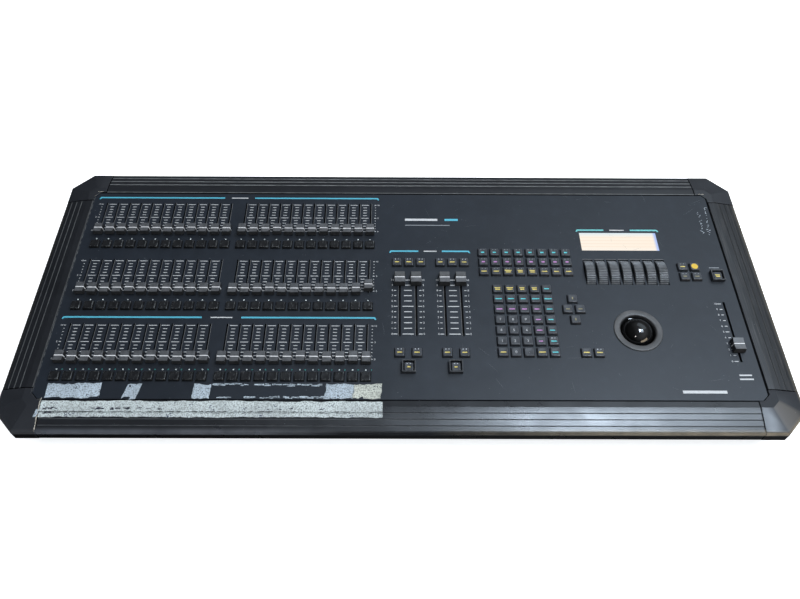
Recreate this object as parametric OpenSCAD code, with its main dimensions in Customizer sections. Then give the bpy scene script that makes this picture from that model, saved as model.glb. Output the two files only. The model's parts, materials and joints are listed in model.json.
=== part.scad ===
/* [Top panel] */
// Width of the flat top panel
panel_w = 1041; // [1040:0.5:1044]
// Depth of the flat top panel
panel_d = 392.5; // [391:0.5:396]
// Sheet thickness of the top panel
panel_t = 2; // [1.5:0.1:2.2]
// Height of the panel's upper face above the table
panel_h = 84; // [82:1:100]
// Cut across each corner of the panel
panel_cut = 10; // [6:0.5:12]

/* [Rails and corners] */
// Width of the edge rails, from the panel seam to the nose
rail_w = 48.5; // [46:0.5:52]
// Height of the rails below the panel's upper face
rail_h = 26; // [24:0.5:32]
// Gap between panel and rails
seam = 0.8; // [0.4:0.1:1.2]
// Length of each corner casting along each side
corner_leg = 65; // [60:1:75]
// Cut across the outer corner of a casting
corner_cut = 32; // [28:1:36]
// How far the castings stand above the rails
corner_proud = 0.6; // [0:0.1:1]

/* [Faders] */
// Pitch of faders and keys
pitch = 19.05; // [19:0.05:19.1]
// Scale length of the channel faders, from 0 to 10
small_scale = 57.8; // [55:0.1:58]
// Scale length of the master faders, from 0 to 10
big_scale = 100; // [98:0.5:101]
// Top width of a channel fader's cap
small_cap_w = 12.8; // [12:0.1:13.5]
// Top width of a master fader's cap
big_cap_w = 15.4; // [14:0.1:16]
// Length of every fader cap
cap_len = 17; // [16:0.5:19]
// How far the middle of a cap dips below its two ends
cap_dip = 1; // [0.5:0.1:2]

/* [Keys] */
// Side of a key's square cut-out
key_hole = 16; // [15.8:0.1:16.2]
// Side of a key cap at its foot
key_base = 15.2; // [15:0.1:15.2]
// Side of a key cap at its top
key_top = 12; // [11:0.5:13]
// Height of a key cap above the panel
key_rise = 6; // [5:0.5:8]
// Height of a bump key above the panel
bump_rise = 4; // [3.5:0.5:5]
// Travel of every key
key_travel = 3; // [2:0.5:3]

/* [Wheels and trackball] */
// Radius of the encoder wheels
wheel_r = 34; // [32:0.5:36]
// Width of an encoder wheel
wheel_w = 14; // [13:0.5:14.5]
// Diameter of the trackball
ball_d = 50.8; // [50:0.1:51]
// Outer diameter of the ring around the trackball
bezel_d = 73; // [70:0.5:76]
// Diameter of the opening in that ring
bezel_hole = 53; // [52.6:0.1:54]

/* [Hidden] */
$fn = 48;
half_w = panel_w / 2;
half_d = panel_d / 2;
outer_x = half_w + rail_w;
outer_y = half_d + rail_w;

// Channel fader field: three rows of twenty-four on the common pitch, with a wider middle gap
channel_x = -495.7;
bank_size = 12;
bank_gap = 6.4;
row_y = [169.5, 48.8, -73.4];
led_drop = 75.7;
second_led_x = 8;
bump_drop = 87;
raised_by = 8;
// Small differences in how far back the resting channel faders stand
uneven = [0, 0.3, 0, 0, 1, 0, -0.4, 0, 0.9, 0, -0.3];
function slot_x(k) = channel_x + k * pitch + (k >= bank_size ? bank_gap : 0);
function rest_y(row, k) = row_y[row] - small_scale + uneven[(k + 4 * row) % len(uneven)];

// Master fader field
cross_x = [-2.5, 22.9, 67.4, 92.8];
cross_top = 12.75;
cross_rest = 11.75;
grand_x = 496;
grand_top = -30.75;
grand_rest = -108;

// Key fields: centres of the keys
fader_key_at = [for (x = [-7, 12, 31, 62, 81, 100]) [x, 46.75]];
hold_key_at = [for (x = cross_x) [x, -120.25]];
go_key_at = [[10.8, -144.75], [79, -144.75]];
blackout_at = [498, 21.25];
function_key_at = [for (r = [0:2], c = [0:7]) [130.5 + c * pitch, 66.75 - r * pitch]];
keypad_at = [for (r = [0:6], c = [0:4]) [149.1 + c * pitch, -5.25 - r * pitch]];
arrow_x = 263.1;
arrow_y = -42.75;
arrow_key_at = [[arrow_x, arrow_y + pitch], [arrow_x - pitch / 2, arrow_y],
    [arrow_x + pitch / 2, arrow_y], [arrow_x, arrow_y - pitch]];
page_key_at = [[271, -119.75], [271 + pitch, -119.75]];
status_key_at = [for (x = [446.5, 446.5 + pitch], y = [39.25, 39.25 - pitch]) [x, y]];
bump_key_at = [for (r = [0:2]) [for (k = [0:23]) [slot_x(k), row_y[r] - bump_drop]]];
plain_key_at = concat(fader_key_at, hold_key_at, function_key_at, keypad_at, arrow_key_at,
    page_key_at, status_key_at);
guarded_key_at = concat(go_key_at, [blackout_at]);
guarded_base = 13;
guarded_top = 11;
guarded_hole = 14;

// Display, wheels and trackball
display_at = [355.5, 92.5];
display_size = [126, 37.5];
wheel_x = 298;
wheel_y = 29.75;
wheel_pitch = 19.1;
wheel_count = 7;
wheel_slot = [16, 50];
wheel_clear = 0.5;
wheel_drop = panel_t + sqrt(pow(wheel_r, 2) - pow(wheel_slot[1] / 2 - wheel_clear, 2));
axle_r = 3;
running_gap = 0.05;
ball_at = [355, -79.75];
bezel_rise = 1.8;
bezel_spigot = 4;
ball_r = ball_d / 2;
ball_sunk = 15;
ball_z = panel_h + bezel_rise - ball_sunk;
panel_ball_hole = 60;
roller_r = 4;
roller_gap = 0.3;
roller_y = ball_r + roller_gap + roller_r;
roller_pin_r = 1.5;
cup_r = 34;
cup_gap = 1;
cup_floor = 4;

// Levels below the panel
board_top = panel_h - 12.6;
board_t = 1.6;
switch_h = 5;
switch_side = 12;
led_r = 1.4;
led_hole_r = 1.5;
led_h = 6.5;
led_low = 6;
stem_t = 1.2;
stem_w = 3;
stem_low = 8;
cap_gap = 1.2;
small_cap_h = 9.3;
big_cap_h = 11;
small_slot_w = 2.4;
big_slot_w = 3.4;
slot_spare = 3.2;

// Base pan
pan_out = 20;
pan_t = 2;
foot_h = 8;
foot_r = 13;
pan_x = half_w + pan_out;
pan_y = half_d + pan_out;
pan_top = panel_h - 11;
floor_z = foot_h + pan_t;
screw_r = 2;
screw_z = panel_h - 18;
long_screw_x = [-420, -210, 0, 210, 420];
short_screw_y = [-120, 0, 120];
plate_w = 420;
plate_h = 38;
plate_z = 34;
plate_t = 1.5;
inlet_x = -165;
socket_x = [-80, -40];
dsub_x = [20, 80, 140];
inlet_flange = [40, 2.5, 28];
inlet_body = [28, 19, 22];
inlet_mouth = [24, 20, 17];
inlet_mouth_out = 6;
inlet_pin = [2, 8.5, 5];
inlet_pin_at = [[-7, -2], [7, -2], [0, 3]];
socket_r = 11;
socket_hole_r = 10;
socket_lip_r = 14;
socket_deep = 16;
socket_pin_ring = 5.5;
overlap = 0.01;

// Circuit boards and power supply
board_spare = 12;
board_front = 102;
board_length = 112;
key_board = [[-16, -160], [303, -160], [303, -12], [283, -12], [283, 82], [-16, 82]];
side_board_from = [436, -148];
side_board = [74, 206, board_t];
main_board_at = [120, 110];
main_board = [280, 150, board_t];
post_x = [-12, 252];
post_y = [42, 178];
post_h = 8;
post_r = 3;
post_hole_r = 1.6;
chip_at = [[60, 130], [120, 130], [180, 90]];
chip = [34, 34, 4];
supply_at = [-300, 120];
supply = [170, 100, 42];
supply_slots = 10;
supply_slot = [5, 70, 6];
supply_slot_pitch = 13;

module box_at(centre, size, low) {
    translate([centre[0] - size[0] / 2, centre[1] - size[1] / 2, low]) cube(size);
}

// --- Sheet metal, rails and castings ---

module chamfered_plan(hx, hy, cut) {
    polygon([[-hx + cut, -hy], [hx - cut, -hy], [hx, -hy + cut], [hx, hy - cut],
        [hx - cut, hy], [-hx + cut, hy], [-hx, hy - cut], [-hx, -hy + cut]]);
}

module square_holes(centres, side) {
    for (p = centres) translate(p) square(side, center = true);
}

module fader_slot(x, top, scale, width) {
    length = scale + 2 * slot_spare;
    translate([x, top - scale / 2]) square([width, length], center = true);
}

module top_panel() {
    color("#2b2f38") translate([0, 0, panel_h - panel_t]) linear_extrude(panel_t) difference() {
        chamfered_plan(half_w, half_d, panel_cut);
        for (y = row_y, k = [0:23]) fader_slot(slot_x(k), y, small_scale, small_slot_w);
        for (x = cross_x) fader_slot(x, cross_top, big_scale, big_slot_w);
        fader_slot(grand_x, grand_top, big_scale, big_slot_w);
        for (y = row_y, k = [0:23]) translate([slot_x(k), y - led_drop])
            circle(led_hole_r, $fn = 24);
        for (k = [0:23])
            translate([slot_x(k) + second_led_x, row_y[2] - led_drop]) circle(led_hole_r, $fn = 24);
        for (row = bump_key_at) square_holes(row, key_hole);
        square_holes(plain_key_at, key_hole);
        square_holes(guarded_key_at, guarded_hole);
        translate(display_at) square(display_size, center = true);
        for (i = [0:wheel_count - 1])
            translate([wheel_x + i * wheel_pitch, wheel_y]) square(wheel_slot, center = true);
        translate(ball_at) circle(panel_ball_hole / 2);
    }
}

nose_r = 5;
skin = 3;
flat_to = 11;
lip = 1.5;
groove_at = [20, 29, 38];
groove_w = 1.4;
groove_deep = 0.9;
rib_at = pan_out;
ledge_w = 8;
function fall(s) = s <= flat_to ? 0 : 0.115 * (s - flat_to) + 0.0022 * pow(s - flat_to, 2);
nose_from = 75;
nose_s = rail_w - nose_r;
nose_z = -fall(nose_s + nose_r * cos(nose_from)) - nose_r * sin(nose_from);

module rail_profile() {
    difference() {
        polygon(concat(
            [[seam, 0]],
            [for (s = [flat_to:3:nose_s]) [s, -fall(s)]],
            [for (a = [nose_from:-15:0]) [nose_s + nose_r * cos(a), nose_z + nose_r * sin(a)]],
            [[rail_w, -rail_h + lip], [rail_w - lip, -rail_h], [rail_w - skin, -rail_h],
                [rail_w - skin, nose_z], [rail_w - skin - 4, nose_z + 2.4]],
            [for (s = [rail_w - skin - 7:-4:rib_at + skin]) [s, -fall(s) - skin]],
            [[rib_at + skin, -fall(rib_at + skin) - skin], [rib_at + skin, -rail_h + 2],
                [rib_at, -rail_h + 2], [rib_at, -fall(rib_at) - skin], [flat_to, -panel_t - skin],
                [-ledge_w, -panel_t - skin], [-ledge_w, -panel_t], [seam, -panel_t]]));
        for (s = groove_at)
            translate([s, -fall(s)]) square([groove_w, 2 * groove_deep], center = true);
    }
}

module rail_screw_holes(along) {
    for (x = along) translate([0, x, 0]) rotate([0, 90, 0])
        cylinder(h = 2 * rail_w, r = screw_r, center = true, $fn = 24);
}

// A rail runs along Y with its nose towards +X before it is turned into place
module rail(length, screws) {
    difference() {
        translate([0, length / 2, panel_h]) rotate([90, 0, 0]) linear_extrude(length) rail_profile();
        intersection() {
            translate([0, 0, screw_z]) rail_screw_holes(screws);
            translate([rib_at - 5, -length / 2, 0]) cube([skin + 8, length, panel_h]);
        }
    }
}

module long_rail() {
    color("#33363e") translate([0, half_d, 0]) rotate([0, 0, 90])
        rail(2 * (outer_x - corner_leg), long_screw_x);
}

module short_rail() {
    color("#33363e") translate([half_w, 0, 0]) rail(2 * (outer_y - corner_leg), short_screw_y);
}

module rear_rail() { long_rail(); }
module front_rail() { mirror([0, 1, 0]) long_rail(); }
module right_rail() { short_rail(); }
module left_rail() { mirror([1, 0, 0]) short_rail(); }

// A casting's section: a flat zone, a plane facet and the same nose as the rails
module casting_profile() {
    polygon(concat(
        [[-corner_leg, -rail_h - lip], [-corner_leg, corner_proud], [flat_to, corner_proud]],
        [for (a = [nose_from:-15:0])
            [nose_s + nose_r * cos(a), nose_z + corner_proud + nose_r * sin(a)]],
        [[rail_w, -rail_h - lip]]));
}

module casting_side(outer) {
    translate([outer - rail_w, 0, panel_h]) rotate([90, 0, 0])
        linear_extrude(2 * outer_x + 2 * lip, center = true) casting_profile();
}

module corner_casting() {
    color("#3a3d45") difference() {
        intersection() {
            translate([0, 0, panel_h - rail_h]) linear_extrude(rail_h + skin) polygon([
                [outer_x - corner_leg, half_d + seam], [outer_x - corner_leg, outer_y + skin],
                [outer_x + skin, outer_y + skin], [outer_x + skin, outer_y - corner_leg],
                [half_w + seam, outer_y - corner_leg], [half_w + seam, half_d - panel_cut + seam],
                [half_w - panel_cut + seam, half_d + seam]]);
            casting_side(outer_x);
            rotate([0, 0, 90]) casting_side(outer_y);
            rotate([0, 0, 45]) casting_side((outer_x + outer_y - corner_cut) / sqrt(2));
        }
        translate([0, 0, panel_h - rail_h - 1]) linear_extrude(rail_h - 10) polygon([
            [outer_x - corner_leg - 1, outer_y - corner_leg - 1],
            [outer_x - corner_leg - 1, outer_y - skin],
            [outer_x - corner_cut - 1, outer_y - skin],
            [outer_x - skin, outer_y - corner_cut - 1],
            [outer_x - skin, outer_y - corner_leg - 1]]);
    }
}

module corner_rear_right() { corner_casting(); }
module corner_rear_left() { mirror([1, 0, 0]) corner_casting(); }
module corner_front_right() { mirror([0, 1, 0]) corner_casting(); }
module corner_front_left() { mirror([1, 0, 0]) mirror([0, 1, 0]) corner_casting(); }

vent_count = 12;
vent_pitch = 9;
vent = [3, 30, 26];
rear_vent_x = [-480, 380];
side_vent_y = -50;
screw_hole_h = 12;
plate_lap = [12, 5];

module vents() {
    for (i = [0:vent_count - 1]) translate([i * vent_pitch, 0, 0]) cube(vent, center = true);
}

module pan_hole(at, turn) {
    translate(at) rotate(turn) cylinder(h = screw_hole_h, r = screw_r, center = true, $fn = 24);
}

module base_pan() {
    color("#1d1f22") difference() {
        translate([-pan_x, -pan_y, foot_h]) cube([2 * pan_x, 2 * pan_y, pan_top - foot_h]);
        translate([-pan_x + pan_t, -pan_y + pan_t, floor_z])
            cube([2 * (pan_x - pan_t), 2 * (pan_y - pan_t), pan_top]);
        for (x = long_screw_x, side = [-1, 1]) pan_hole([x, side * pan_y, screw_z], [90, 0, 0]);
        for (y = short_screw_y, side = [-1, 1]) pan_hole([side * pan_x, y, screw_z], [0, 90, 0]);
        translate([0, pan_y, plate_z])
            cube([plate_w - 2 * plate_lap[0], 6 * pan_t, plate_h - 2 * plate_lap[1]], center = true);
        for (x = rear_vent_x) translate([x, pan_y, plate_z]) vents();
        for (side = [-1, 1]) translate([side * pan_x, side_vent_y, plate_z])
            rotate([0, 0, 90]) vents();
    }
}

foot_x = [-470, 0, 470];
foot_y = [-170, 170];

module rubber_feet() {
    color("#141414") for (x = foot_x, y = foot_y)
        translate([x, y, 0]) cylinder(h = foot_h, r = foot_r);
}

screw_head_h = 2;
screw_length = 8;

module pan_screws() {
    color("silver") {
        for (x = long_screw_x, side = [-1, 1]) translate([x, side * (pan_y - pan_t), screw_z])
            rotate([side * 90, 0, 0]) pan_screw();
        for (y = short_screw_y, side = [-1, 1]) translate([side * (pan_x - pan_t), y, screw_z])
            rotate([0, -side * 90, 0]) pan_screw();
    }
}

module pan_screw() {
    cylinder(h = screw_head_h, r = 2 * screw_r, $fn = 24);
    translate([0, 0, -screw_length])
        cylinder(h = screw_length, r = screw_r - running_gap, $fn = 24);
}

// --- Connectors and electronics inside ---

module inlet() {
    difference() {
        union() {
            translate([0, inlet_flange[1] / 2 - overlap, 0]) cube(inlet_flange, center = true);
            translate([0, 1 - inlet_body[1] / 2, 0]) cube(inlet_body, center = true);
        }
        translate([0, inlet_mouth_out - inlet_mouth[1] / 2, 0]) cube(inlet_mouth, center = true);
    }
    for (p = inlet_pin_at)
        translate([p[0], inlet_mouth_out - inlet_mouth[1] + inlet_pin[1] / 2 - 0.5, p[1]])
            cube(inlet_pin, center = true);
}

module round_socket() {
    difference() {
        rotate([-90, 0, 0]) union() {
            translate([0, 0, -socket_deep]) cylinder(h = socket_deep + 2, r = socket_r);
            cylinder(h = 2, r = socket_lip_r);
        }
        for (a = [0:72:288]) rotate([0, a, 0]) translate([0, 3, socket_pin_ring])
            rotate([90, 0, 0]) cylinder(h = 10, r = 1.1, $fn = 24);
    }
}

module dsub_socket() {
    rotate([-90, 0, 0]) translate([0, 0, -10]) linear_extrude(16)
        polygon([[-15, -5.5], [15, -5.5], [13, 5.5], [-13, 5.5]]);
    for (x = [-23, 23]) translate([x, -2, 0]) rotate([-90, 0, 0]) cylinder(h = 6, r = 2.6, $fn = 24);
}

module connector_panel() {
    color("#8d9197") translate([0, pan_y, plate_z]) {
        difference() {
            translate([-plate_w / 2, 0, -plate_h / 2]) cube([plate_w, plate_t, plate_h]);
            translate([inlet_x, 0, 0]) cube(inlet_mouth, center = true);
            for (x = socket_x) translate([x, -1, 0]) rotate([-90, 0, 0])
                cylinder(h = 10, r = socket_hole_r);
        }
        translate([inlet_x, plate_t, 0]) inlet();
        for (x = socket_x) translate([x, plate_t, 0]) round_socket();
        for (x = dsub_x) translate([x, plate_t, 0]) dsub_socket();
    }
}

module power_supply() {
    first = -supply_slot_pitch * (supply_slots - 1) / 2;
    color("#b9bcc0") difference() {
        box_at(supply_at, supply, floor_z);
        for (i = [0:supply_slots - 1])
            translate([supply_at[0] + first + i * supply_slot_pitch, supply_at[1], floor_z + supply[2]])
                cube(supply_slot, center = true);
    }
}

module circuit_boards() {
    low = board_top - board_t;
    color("#1f5f3a") {
        for (y = row_y) translate([slot_x(0) - board_spare, y - board_front, low])
            cube([slot_x(23) - slot_x(0) + 2 * board_spare, board_length, board_t]);
        translate([0, 0, low]) linear_extrude(board_t) polygon(key_board);
        translate([side_board_from[0], side_board_from[1], low]) cube(side_board);
        difference() {
            box_at(main_board_at, main_board, floor_z + post_h);
            for (x = post_x, y = post_y) translate([x, y, floor_z + post_h - 1])
                cylinder(h = board_t + 2, r = post_hole_r);
        }
        for (x = post_x, y = post_y) translate([x, y, floor_z]) cylinder(h = post_h, r = post_r);
        for (p = chip_at) box_at(p, chip, floor_z + post_h + board_t);
    }
}

module key_switches() {
    color("#2a2a2a") for (p = concat(bump_key_at[0], bump_key_at[1], bump_key_at[2], plain_key_at,
        guarded_key_at)) box_at(p, [switch_side, switch_side, switch_h], board_top);
}

pot_end = 4;
pot_floor = 2;
pot_reach = 5;
small_pot = [9, 3];
big_pot = [12, 4];

// Slide potentiometer: a closed body with the lever's channel open upwards
module slide_pot(x, top, scale, widths) {
    length = scale + 2 * (slot_spare + pot_reach);
    height = panel_h - panel_t - board_top;
    translate([x, top - scale / 2, board_top]) difference() {
        translate([-widths[0] / 2, -length / 2, 0]) cube([widths[0], length, height]);
        translate([-widths[1] / 2, -length / 2 + pot_end, pot_floor])
            cube([widths[1], length - 2 * pot_end, height]);
    }
}

module fader_pots(row) {
    color("#70757a") for (k = [0:23]) slide_pot(slot_x(k), row_y[row], small_scale, small_pot);
}

module upper_fader_pots() { fader_pots(0); }
module middle_fader_pots() { fader_pots(1); }
module lower_fader_pots() { fader_pots(2); }

module master_fader_pots() {
    color("#70757a") {
        for (x = cross_x) slide_pot(x, cross_top, big_scale, big_pot);
        slide_pot(grand_x, grand_top, big_scale, big_pot);
    }
}

module indicator_leds() {
    color("white") {
        for (y = row_y, k = [0:23]) led([slot_x(k), y - led_drop]);
        for (k = [0:23]) led([slot_x(k) + second_led_x, row_y[2] - led_drop]);
    }
}

module led(at) {
    translate([at[0], at[1], panel_h - led_low]) cylinder(h = led_h, r = led_r, $fn = 24);
}

window_gap = 0.25;
window_sunk = 0.3;
module_rim = [10, 12];
module_h = 9;

module display_window() {
    size = [for (side = display_size) side - 2 * window_gap];
    color("#f6ead6")
        box_at(display_at, [size[0], size[1], panel_t - window_sunk], panel_h - panel_t);
}

module display_module() {
    size = display_size + 2 * module_rim;
    color("#3c4046")
        box_at(display_at, [size[0], size[1], module_h], panel_h - panel_t - module_h);
}

// --- Wheels ---

ear_t = 2;
ear_h = 20;
ear_front = 8;
bar_t = 4;
bar_low = 14;
leg_w = 5;

module wheel_bracket() {
    first = wheel_x - wheel_pitch / 2;
    last = first + wheel_count * wheel_pitch;
    axle_z = panel_h - wheel_drop;
    bar_y = wheel_y + wheel_r + bar_t;
    color("#9aa0a6") {
        for (i = [0:wheel_count])
            translate([first + i * wheel_pitch - ear_t / 2, wheel_y - ear_front, axle_z - ear_h / 2])
                cube([ear_t, bar_y - wheel_y + ear_front + 1, ear_h]);
        translate([first - 1, bar_y, axle_z - bar_low])
            cube([last - first + 2, bar_t, bar_low + ear_h / 2]);
        for (x = [first, last - leg_w]) translate([x, bar_y, floor_z])
            cube([leg_w, bar_t, axle_z - bar_low + 1 - floor_z]);
        translate([first - 1, wheel_y, axle_z]) rotate([0, 90, 0])
            cylinder(h = last - first + 2, r = axle_r);
    }
}

hub_r = 8;
rim = 5;
web_t = 4;

module encoder_wheel(i) {
    color("#1c1d20") translate([wheel_x + i * wheel_pitch, wheel_y, panel_h - wheel_drop])
        rotate([0, 90, 0]) difference() {
            cylinder(h = wheel_w, r = wheel_r, center = true, $fn = 72);
            for (side = [-1, 1]) translate([0, 0, side * (web_t / 2 + wheel_w / 2)]) difference() {
                cylinder(h = wheel_w, r = wheel_r - rim, center = true);
                cylinder(h = wheel_w + 1, r = hub_r, center = true);
            }
            cylinder(h = wheel_w + 1, r = axle_r + running_gap, center = true);
        }
}

module encoder_wheel_1() { encoder_wheel(0); }
module encoder_wheel_2() { encoder_wheel(1); }
module encoder_wheel_3() { encoder_wheel(2); }
module encoder_wheel_4() { encoder_wheel(3); }
module encoder_wheel_5() { encoder_wheel(4); }
module encoder_wheel_6() { encoder_wheel(5); }
module encoder_wheel_7() { encoder_wheel(6); }

// --- Trackball ---

module trackball_bezel() {
    color("#4a4f57") translate([ball_at[0], ball_at[1], panel_h]) difference() {
        union() {
            cylinder(h = bezel_rise, r = bezel_d / 2, $fn = 96);
            translate([0, 0, -bezel_spigot])
                cylinder(h = bezel_spigot + 1, r = panel_ball_hole / 2 - 0.2, $fn = 96);
        }
        cylinder(h = 4 * bezel_spigot, r = bezel_hole / 2, center = true, $fn = 96);
    }
}

roller_block = [28, 20, 15];
roller_room = [18, 40, 40];
roller_low = 8;

module trackball_housing() {
    low = ball_r + cup_floor;
    high = panel_h - bezel_spigot - 0.3 - ball_z;
    color("#26282c") translate([ball_at[0], ball_at[1], ball_z]) difference() {
        union() {
            translate([0, 0, -low]) cylinder(h = low + high, r = cup_r);
            translate([-roller_block[0] / 2, roller_block[1], -roller_low]) cube(roller_block);
        }
        sphere(r = ball_r + cup_gap, $fn = 96);
        cylinder(h = ball_d, r = ball_r + cup_gap);
        translate([-roller_room[0] / 2, roller_room[1] / 4, 2 - roller_low]) cube(roller_room);
        translate([0, roller_y, 0]) rotate([0, 90, 0])
            cylinder(h = 60, r = roller_pin_r + running_gap, center = true, $fn = 24);
    }
}

module trackball() {
    color("#0c0c0e") translate([ball_at[0], ball_at[1], ball_z]) sphere(r = ball_r, $fn = 96);
}

module trackball_roller() {
    color("silver") translate([ball_at[0], ball_at[1] + roller_y, ball_z]) rotate([0, 90, 0]) {
        cylinder(h = roller_room[0] - 2, r = roller_r, center = true);
        cylinder(h = roller_block[0] - 1, r = roller_pin_r, center = true, $fn = 24);
    }
}

// --- Fader caps with their levers ---

cap_flare = 1;
cap_steps = 8;

module cap_body(width, height) {
    foot = cap_len / 2 + cap_flare;
    intersection() {
        rotate([90, 0, 90]) linear_extrude(2 * width, center = true) polygon(concat(
            [[-foot, cap_gap], [foot, cap_gap]],
            [for (i = [0:cap_steps]) let (t = 1 - 2 * i / cap_steps)
                [t * cap_len / 2, height - cap_dip * (1 - t * t)]]));
        rotate([90, 0, 0]) linear_extrude(2 * cap_len, center = true) polygon([
            [-width / 2 - cap_flare, 0], [width / 2 + cap_flare, 0],
            [width / 2, height + 1], [-width / 2, height + 1]]);
    }
}

module fader(x, y, width, height, thickness, lever_w) {
    translate([x, y, panel_h]) {
        cap_body(width, height);
        translate([-thickness / 2, -lever_w / 2, -stem_low])
            cube([thickness, lever_w, stem_low + cap_gap + 2]);
    }
}

module small_fader(x, y) {
    fader(x, y, small_cap_w, small_cap_h, stem_t, stem_w);
}

module fader_bank(row, first, last) {
    color("#2e3138") for (k = [first:last]) small_fader(slot_x(k), rest_y(row, k));
}

module upper_faders_left() { fader_bank(0, 0, 11); }
module upper_faders_right() { fader_bank(0, 12, 23); }
module middle_faders_left() { fader_bank(1, 0, 11); }
module middle_faders_right() { fader_bank(1, 12, 22); }
module middle_fader_24() {
    color("#2e3138") small_fader(slot_x(23), row_y[1] - small_scale + raised_by);
}
module lower_faders_left() { fader_bank(2, 0, 11); }
module lower_faders_right() { fader_bank(2, 12, 23); }

module big_fader(x, y) {
    color("#2e3138") fader(x, y, big_cap_w, big_cap_h, 2 * stem_t, stem_w + 1);
}

module cross_fader_1() { big_fader(cross_x[0], cross_rest); }
module cross_fader_2() { big_fader(cross_x[1], cross_rest); }
module cross_fader_3() { big_fader(cross_x[2], cross_rest); }
module cross_fader_4() { big_fader(cross_x[3], cross_rest); }
module grand_master_fader() { big_fader(grand_x, grand_rest); }

// --- Keys ---

skirt_low = -3.4;
skirt_high = 0.6;
switch_gap = 0.3;
plunger_low = board_top + switch_h - panel_h + key_travel + switch_gap;
plunger_r = 2;

module key_outline(base, top, rise) {
    polygon([[-base / 2, skirt_low], [base / 2, skirt_low], [base / 2, skirt_high],
        [top / 2, rise], [-top / 2, rise], [-base / 2, skirt_high]]);
}

module key_cap(at, base, top, rise) {
    translate([at[0], at[1], panel_h]) {
        intersection() {
            rotate([90, 0, 0]) linear_extrude(base, center = true) key_outline(base, top, rise);
            rotate([90, 0, 90]) linear_extrude(base, center = true) key_outline(base, top, rise);
        }
        translate([0, 0, plunger_low])
            cylinder(h = skirt_low - plunger_low + 1, r = plunger_r, $fn = 24);
    }
}

module keys(centres) {
    color("#30343b") for (p = centres) key_cap(p, key_base, key_top, key_rise);
}

module bump_keys(row) {
    color("#17191d") for (p = bump_key_at[row]) key_cap(p, key_base, key_base - 2, bump_rise);
}

module upper_bump_keys() { bump_keys(0); }
module middle_bump_keys() { bump_keys(1); }
module lower_bump_keys() { bump_keys(2); }
module fader_keys() { keys(fader_key_at); }
module hold_keys() { keys(hold_key_at); }
module function_keys() { keys(function_key_at); }
module keypad_keys() { keys(keypad_at); }
module arrow_keys() { keys(arrow_key_at); }
module page_keys() { keys(page_key_at); }
module status_keys() { keys(status_key_at); }

module go_keys() {
    color("#30343b") for (p = go_key_at) key_cap(p, guarded_base, guarded_top, key_rise);
}

module blackout_key() {
    color("#30343b") key_cap(blackout_at, guarded_base, guarded_top, key_rise);
}

guard_side = 20;
guard_wall = 1.8;
guard_rise = 7;

module key_guards() {
    color("#3b3f46") for (p = guarded_key_at) translate([p[0], p[1], panel_h])
        linear_extrude(guard_rise) difference() {
            square(guard_side, center = true);
            square(guard_side - 2 * guard_wall, center = true);
        }
}

base_pan();
top_panel();
front_rail();
rear_rail();
left_rail();
right_rail();
corner_front_left();
corner_front_right();
corner_rear_left();
corner_rear_right();
display_window();
display_module();
trackball_bezel();
trackball_housing();
key_guards();
upper_fader_pots();
middle_fader_pots();
lower_fader_pots();
master_fader_pots();
indicator_leds();
key_switches();
circuit_boards();
wheel_bracket();
power_supply();
connector_panel();
rubber_feet();
pan_screws();
upper_faders_left();
upper_faders_right();
middle_faders_left();
middle_faders_right();
lower_faders_left();
lower_faders_right();
middle_fader_24();
cross_fader_1();
cross_fader_2();
cross_fader_3();
cross_fader_4();
grand_master_fader();
encoder_wheel_1();
encoder_wheel_2();
encoder_wheel_3();
encoder_wheel_4();
encoder_wheel_5();
encoder_wheel_6();
encoder_wheel_7();
trackball();
trackball_roller();
upper_bump_keys();
middle_bump_keys();
lower_bump_keys();
fader_keys();
hold_keys();
go_keys();
blackout_key();
function_keys();
keypad_keys();
arrow_keys();
page_keys();
status_keys();
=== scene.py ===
import json
import math
import random
import bmesh
import bpy
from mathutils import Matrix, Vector
from mathutils.bvhtree import BVHTree


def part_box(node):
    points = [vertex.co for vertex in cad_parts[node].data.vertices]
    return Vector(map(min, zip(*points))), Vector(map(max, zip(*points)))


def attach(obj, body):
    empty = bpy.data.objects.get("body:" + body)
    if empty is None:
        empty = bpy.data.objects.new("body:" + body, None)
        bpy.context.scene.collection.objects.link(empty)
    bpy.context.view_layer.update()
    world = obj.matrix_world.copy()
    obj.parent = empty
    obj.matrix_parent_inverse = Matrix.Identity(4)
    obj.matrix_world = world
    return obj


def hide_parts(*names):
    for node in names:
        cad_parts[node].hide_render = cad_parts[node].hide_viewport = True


# The lighting desk's looks, built round its CAD model. Shapes are put together in millimetres
# in the desk's own frame, and piece() turns them into Blender objects in metres.
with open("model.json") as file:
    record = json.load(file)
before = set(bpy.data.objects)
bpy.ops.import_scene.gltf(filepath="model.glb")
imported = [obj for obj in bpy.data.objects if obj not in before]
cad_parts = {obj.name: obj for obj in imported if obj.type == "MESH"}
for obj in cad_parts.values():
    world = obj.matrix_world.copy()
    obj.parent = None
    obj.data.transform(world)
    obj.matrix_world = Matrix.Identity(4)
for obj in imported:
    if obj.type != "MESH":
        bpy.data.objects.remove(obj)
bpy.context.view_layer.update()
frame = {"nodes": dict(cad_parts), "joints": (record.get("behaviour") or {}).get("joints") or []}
MM = 0.001
nodes = frame["nodes"]
travel = {j["child"]: [v / MM for v in j["range_m"]] for j in frame["joints"] if "range_m" in j}


def box_mm(node):
    """Lowest and highest corner of a CAD node, in millimetres."""
    low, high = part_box(node)
    return low / MM, high / MM


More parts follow.
